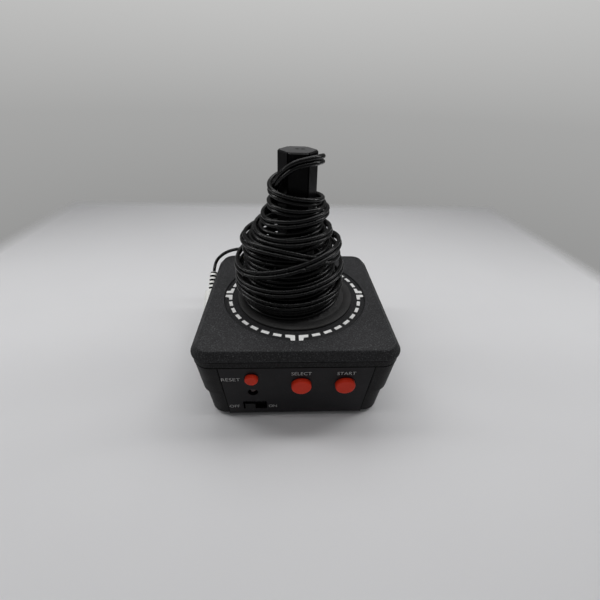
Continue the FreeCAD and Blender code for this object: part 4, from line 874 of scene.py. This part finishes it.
def make_panel():
    shape = bmesh.new()
    shape.from_mesh(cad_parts["front_panel"].data)
    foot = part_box("front_panel")[0][2]
    for share in ROUNDING_CUTS:
        level = foot + PANEL_ROUNDING * share * MM
        everything = list(shape.verts) + list(shape.edges) + list(shape.faces)
        bmesh.ops.bisect_plane(shape, geom=everything, plane_co=(0, 0, level), plane_no=(0, 0, 1))
    for vertex in shape.verts:
        depth = 1 - (vertex.co.z - foot) / (PANEL_ROUNDING * MM)
        if depth > 0 and vertex.co.y < (PANEL_FRONT + ROUNDED_DEPTH) * MM:
            vertex.co.y += PANEL_ROUNDING * MM * (1 - math.sqrt(max(1 - depth * depth, 0)))
    mesh = shape_mesh("panel", shape)
    piece = finish_piece("switch_panel", mesh, MATERIALS["panel"], "base", smooth=False)
    soften(piece, PANEL_EDGE, segments=2, harden=False)
    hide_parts("front_panel")


# Soft pieces under the buttons, each an unchanged copy of its node

# Each node: joint, axis, end of its box that stays still (0 low, 1 high), travel, material, slot
SQUASHED = {
    "reset_dome": ("reset_press", 1, 1, 1.2, "silicone", "dome_rubber"),
    "select_dome": ("select_press", 1, 1, 1.2, "silicone", "dome_rubber"),
    "start_dome": ("start_press", 1, 1, 1.2, "silicone", "dome_rubber"),
    "fire_return_spring": ("fire_press", 2, 0, 1.5, "steel", "steel"),
}


def make_squashed(node, joint, axis, end, travel, material, slot):
    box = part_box(node)
    anchor = [(box[0][n] + box[1][n]) / 2 for n in range(3)]
    anchor[axis] = box[end][axis]
    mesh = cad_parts[node].data.copy()
    mesh.materials.clear()
    piece = finish_piece(f"{node}_soft", mesh, MATERIALS[material], "base", smooth=False)
    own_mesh(piece)
    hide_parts(node)


# Plain words printed on the front panel

LETTER_HEIGHT = 2.35
LETTER_THINNING = -0.012
LETTER_RESOLUTION = 4
LETTER_EXTRUSION = 0.01
INK_PROUD = 0.02
INK_SUNK = 0.05

# Each word: its left end, its right end, its middle height
WORDS = {
    "RESET": (-38.1, -28.7, 33.4),
    "SELECT": (-2.8, 7.3, 37.6),
    "START": (20.3, 29.8, 37.4),
    "OFF": (-36.4, -30.9, 9.8),
    "ON": (-14.9, -10.6, 9.5),
}


def panel_face(height):
    """Front face of the panel at a height: it leans in towards its foot."""
    return PANEL_FRONT + PANEL_LEAN * (PANEL_TOP - height)


def make_word(word, left, right, middle):
    data = bpy.data.curves.new(word, "FONT")
    data.body = word
    data.extrude = LETTER_EXTRUSION
    data.offset = LETTER_THINNING
    data.resolution_u = LETTER_RESOLUTION
    mesh = curve_mesh(word, data)
    low = [min(vertex.co[axis] for vertex in mesh.vertices) for axis in range(2)]
    high = [max(vertex.co[axis] for vertex in mesh.vertices) for axis in range(2)]
    for vertex in mesh.vertices:
        x = left + (vertex.co.x - low[0]) / (high[0] - low[0]) * (right - left)
        z = middle + ((vertex.co.y - low[1]) / (high[1] - low[1]) - 0.5) * LETTER_HEIGHT
        proud = INK_PROUD if vertex.co.z > 0 else -INK_SUNK
        vertex.co = mm(x, panel_face(z) - proud, z)
    piece = finish_piece(f"word_{word.lower()}", mesh, MATERIALS["ink"], "base", smooth=False)


# Floor, light and background

FLOOR_REACH = 330
FLOOR_FADE = 26
FLOOR_MOTTLE_SCALE = 3
FLOOR_GREYS = ((0.70, 0.70, 0.71), (0.74, 0.74, 0.75))
FLOOR_ROUGHNESS = 0.85

# Area lights: place, target, size, power in watts
LIGHTS = {
    "top_box": ((0, 150, 430), (0, 0, 40), (420, 260), 0.66),
    "front_strip": ((0, -90, 430), (0, 0, 70), (420, 14), 0.26),
    "left_strip": ((-320, 40, 330), (0, 0, 70), (36, 420), 0.55),
    "right_strip": ((320, 40, 330), (0, 0, 70), (36, 420), 0.55),
}
STUDIO_GREY = (0.62, 0.62, 0.63)
STUDIO_STRENGTH = 0.26
# Share of the backdrop's strength that shows in gloss
GLOSS_SHARE = 0.28
# Rise of the line of sight at the two ends of the backdrop, down and up
BACKDROP_REACH = 0.45
# Place between those ends, then the backdrop's grey there
BACKDROP = [(0.0, 0.30), (0.15, 0.31), (0.42, 0.38), (0.67, 0.54), (1.0, 0.66)]


def make_floor():
    """Square pale floor whose rim fades into the backdrop."""
    shape = bmesh.new()
    for x, y in ((-1, -1), (1, -1), (1, 1), (-1, 1)):
        shape.verts.new(mm(x * FLOOR_REACH, y * FLOOR_REACH, 0))
    shape.faces.new(shape.verts)
    mesh = shape_mesh("floor", shape)
    material, tree, shader = new_material("floor")
    mottle = spread(tree, noise(tree, FLOOR_MOTTLE_SCALE), *MIDDLE_NOISE)
    tree.links.new(blend_colours(tree, mottle, *FLOOR_GREYS), shader.inputs["Base Color"])
    shader.inputs["Roughness"].default_value = FLOOR_ROUGHNESS
    across, along, _ = place_parts(tree)
    across = calculate(tree, "ABSOLUTE", across)
    along = calculate(tree, "ABSOLUTE", along)
    farther = calculate(tree, "MAXIMUM", across, along)
    solid = spread(tree, farther, (FLOOR_REACH - FLOOR_FADE) * MM, FLOOR_REACH * MM, 1, 0)
    tree.links.new(solid, shader.inputs["Alpha"])
    floor = bpy.data.objects.new("floor", mesh)
    mesh.materials.append(material)
    scene.collection.objects.link(floor)


def make_area_light(name, place, target, size, power):
    data = bpy.data.lights.new(name, "AREA")
    data.shape = "RECTANGLE"
    data.size = size[0] * MM
    data.size_y = size[1] * MM
    data.energy = power
    light = bpy.data.objects.new(name, data)
    light.location = mm(*place)
    light.rotation_euler = (mm(*target) - mm(*place)).to_track_quat("-Z", "Y").to_euler()
    scene.collection.objects.link(light)


def make_world():
    """Even studio light; camera, glossy and transmission rays meet a grey backdrop instead."""
    world = bpy.data.worlds.new("studio")
    scene.world = world
    world.use_nodes = True
    tree = world.node_tree
    lighting = tree.nodes["Background"]
    lighting.inputs["Color"].default_value = (*STUDIO_GREY, 1)
    lighting.inputs["Strength"].default_value = STUDIO_STRENGTH
    rise = place_parts(tree, "Generated")[2]
    level = spread(tree, rise, -BACKDROP_REACH, BACKDROP_REACH)
    ramp = add(tree, "ShaderNodeValToRGB")
    while len(ramp.color_ramp.elements) < len(BACKDROP):
        ramp.color_ramp.elements.new(0.5)
    for element, (height, grey) in zip(ramp.color_ramp.elements, BACKDROP):
        element.position = height
        element.color = (grey, grey, grey * 0.99, 1)
    tree.links.new(level, ramp.inputs["Fac"])
    backdrop = add(tree, "ShaderNodeBackground")
    tree.links.new(ramp.outputs["Color"], backdrop.inputs["Color"])
    ray = add(tree, "ShaderNodeLightPath").outputs
    strength = spread(tree, ray["Is Camera Ray"], 0, 1, GLOSS_SHARE, 1)
    tree.links.new(strength, backdrop.inputs["Strength"])
    seen = calculate(tree, "MAXIMUM", ray["Is Camera Ray"], ray["Is Glossy Ray"])
    seen = calculate(tree, "MAXIMUM", seen, ray["Is Transmission Ray"])
    mix = add(tree, "ShaderNodeMixShader")
    tree.links.new(seen, mix.inputs["Fac"])
    tree.links.new(lighting.outputs["Background"], mix.inputs[1])
    tree.links.new(backdrop.outputs["Background"], mix.inputs[2])
    tree.links.new(mix.outputs["Shader"], tree.nodes["World Output"].inputs["Surface"])


# The whole scene

scene.view_settings.view_transform = "Standard"
make_camera()
dress_nodes()
for name, width in SOFT_EDGES.items():
    soften(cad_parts[name], width)
for kind, places in pressed_strands().items():
    make_lead(kind, places)
make_boot()
make_panel()
for node, facts in SQUASHED.items():
    make_squashed(node, *facts)
for word, span in WORDS.items():
    make_word(word, *span)
make_floor()
for name, facts in LIGHTS.items():
    make_area_light(name, *facts)
make_world()
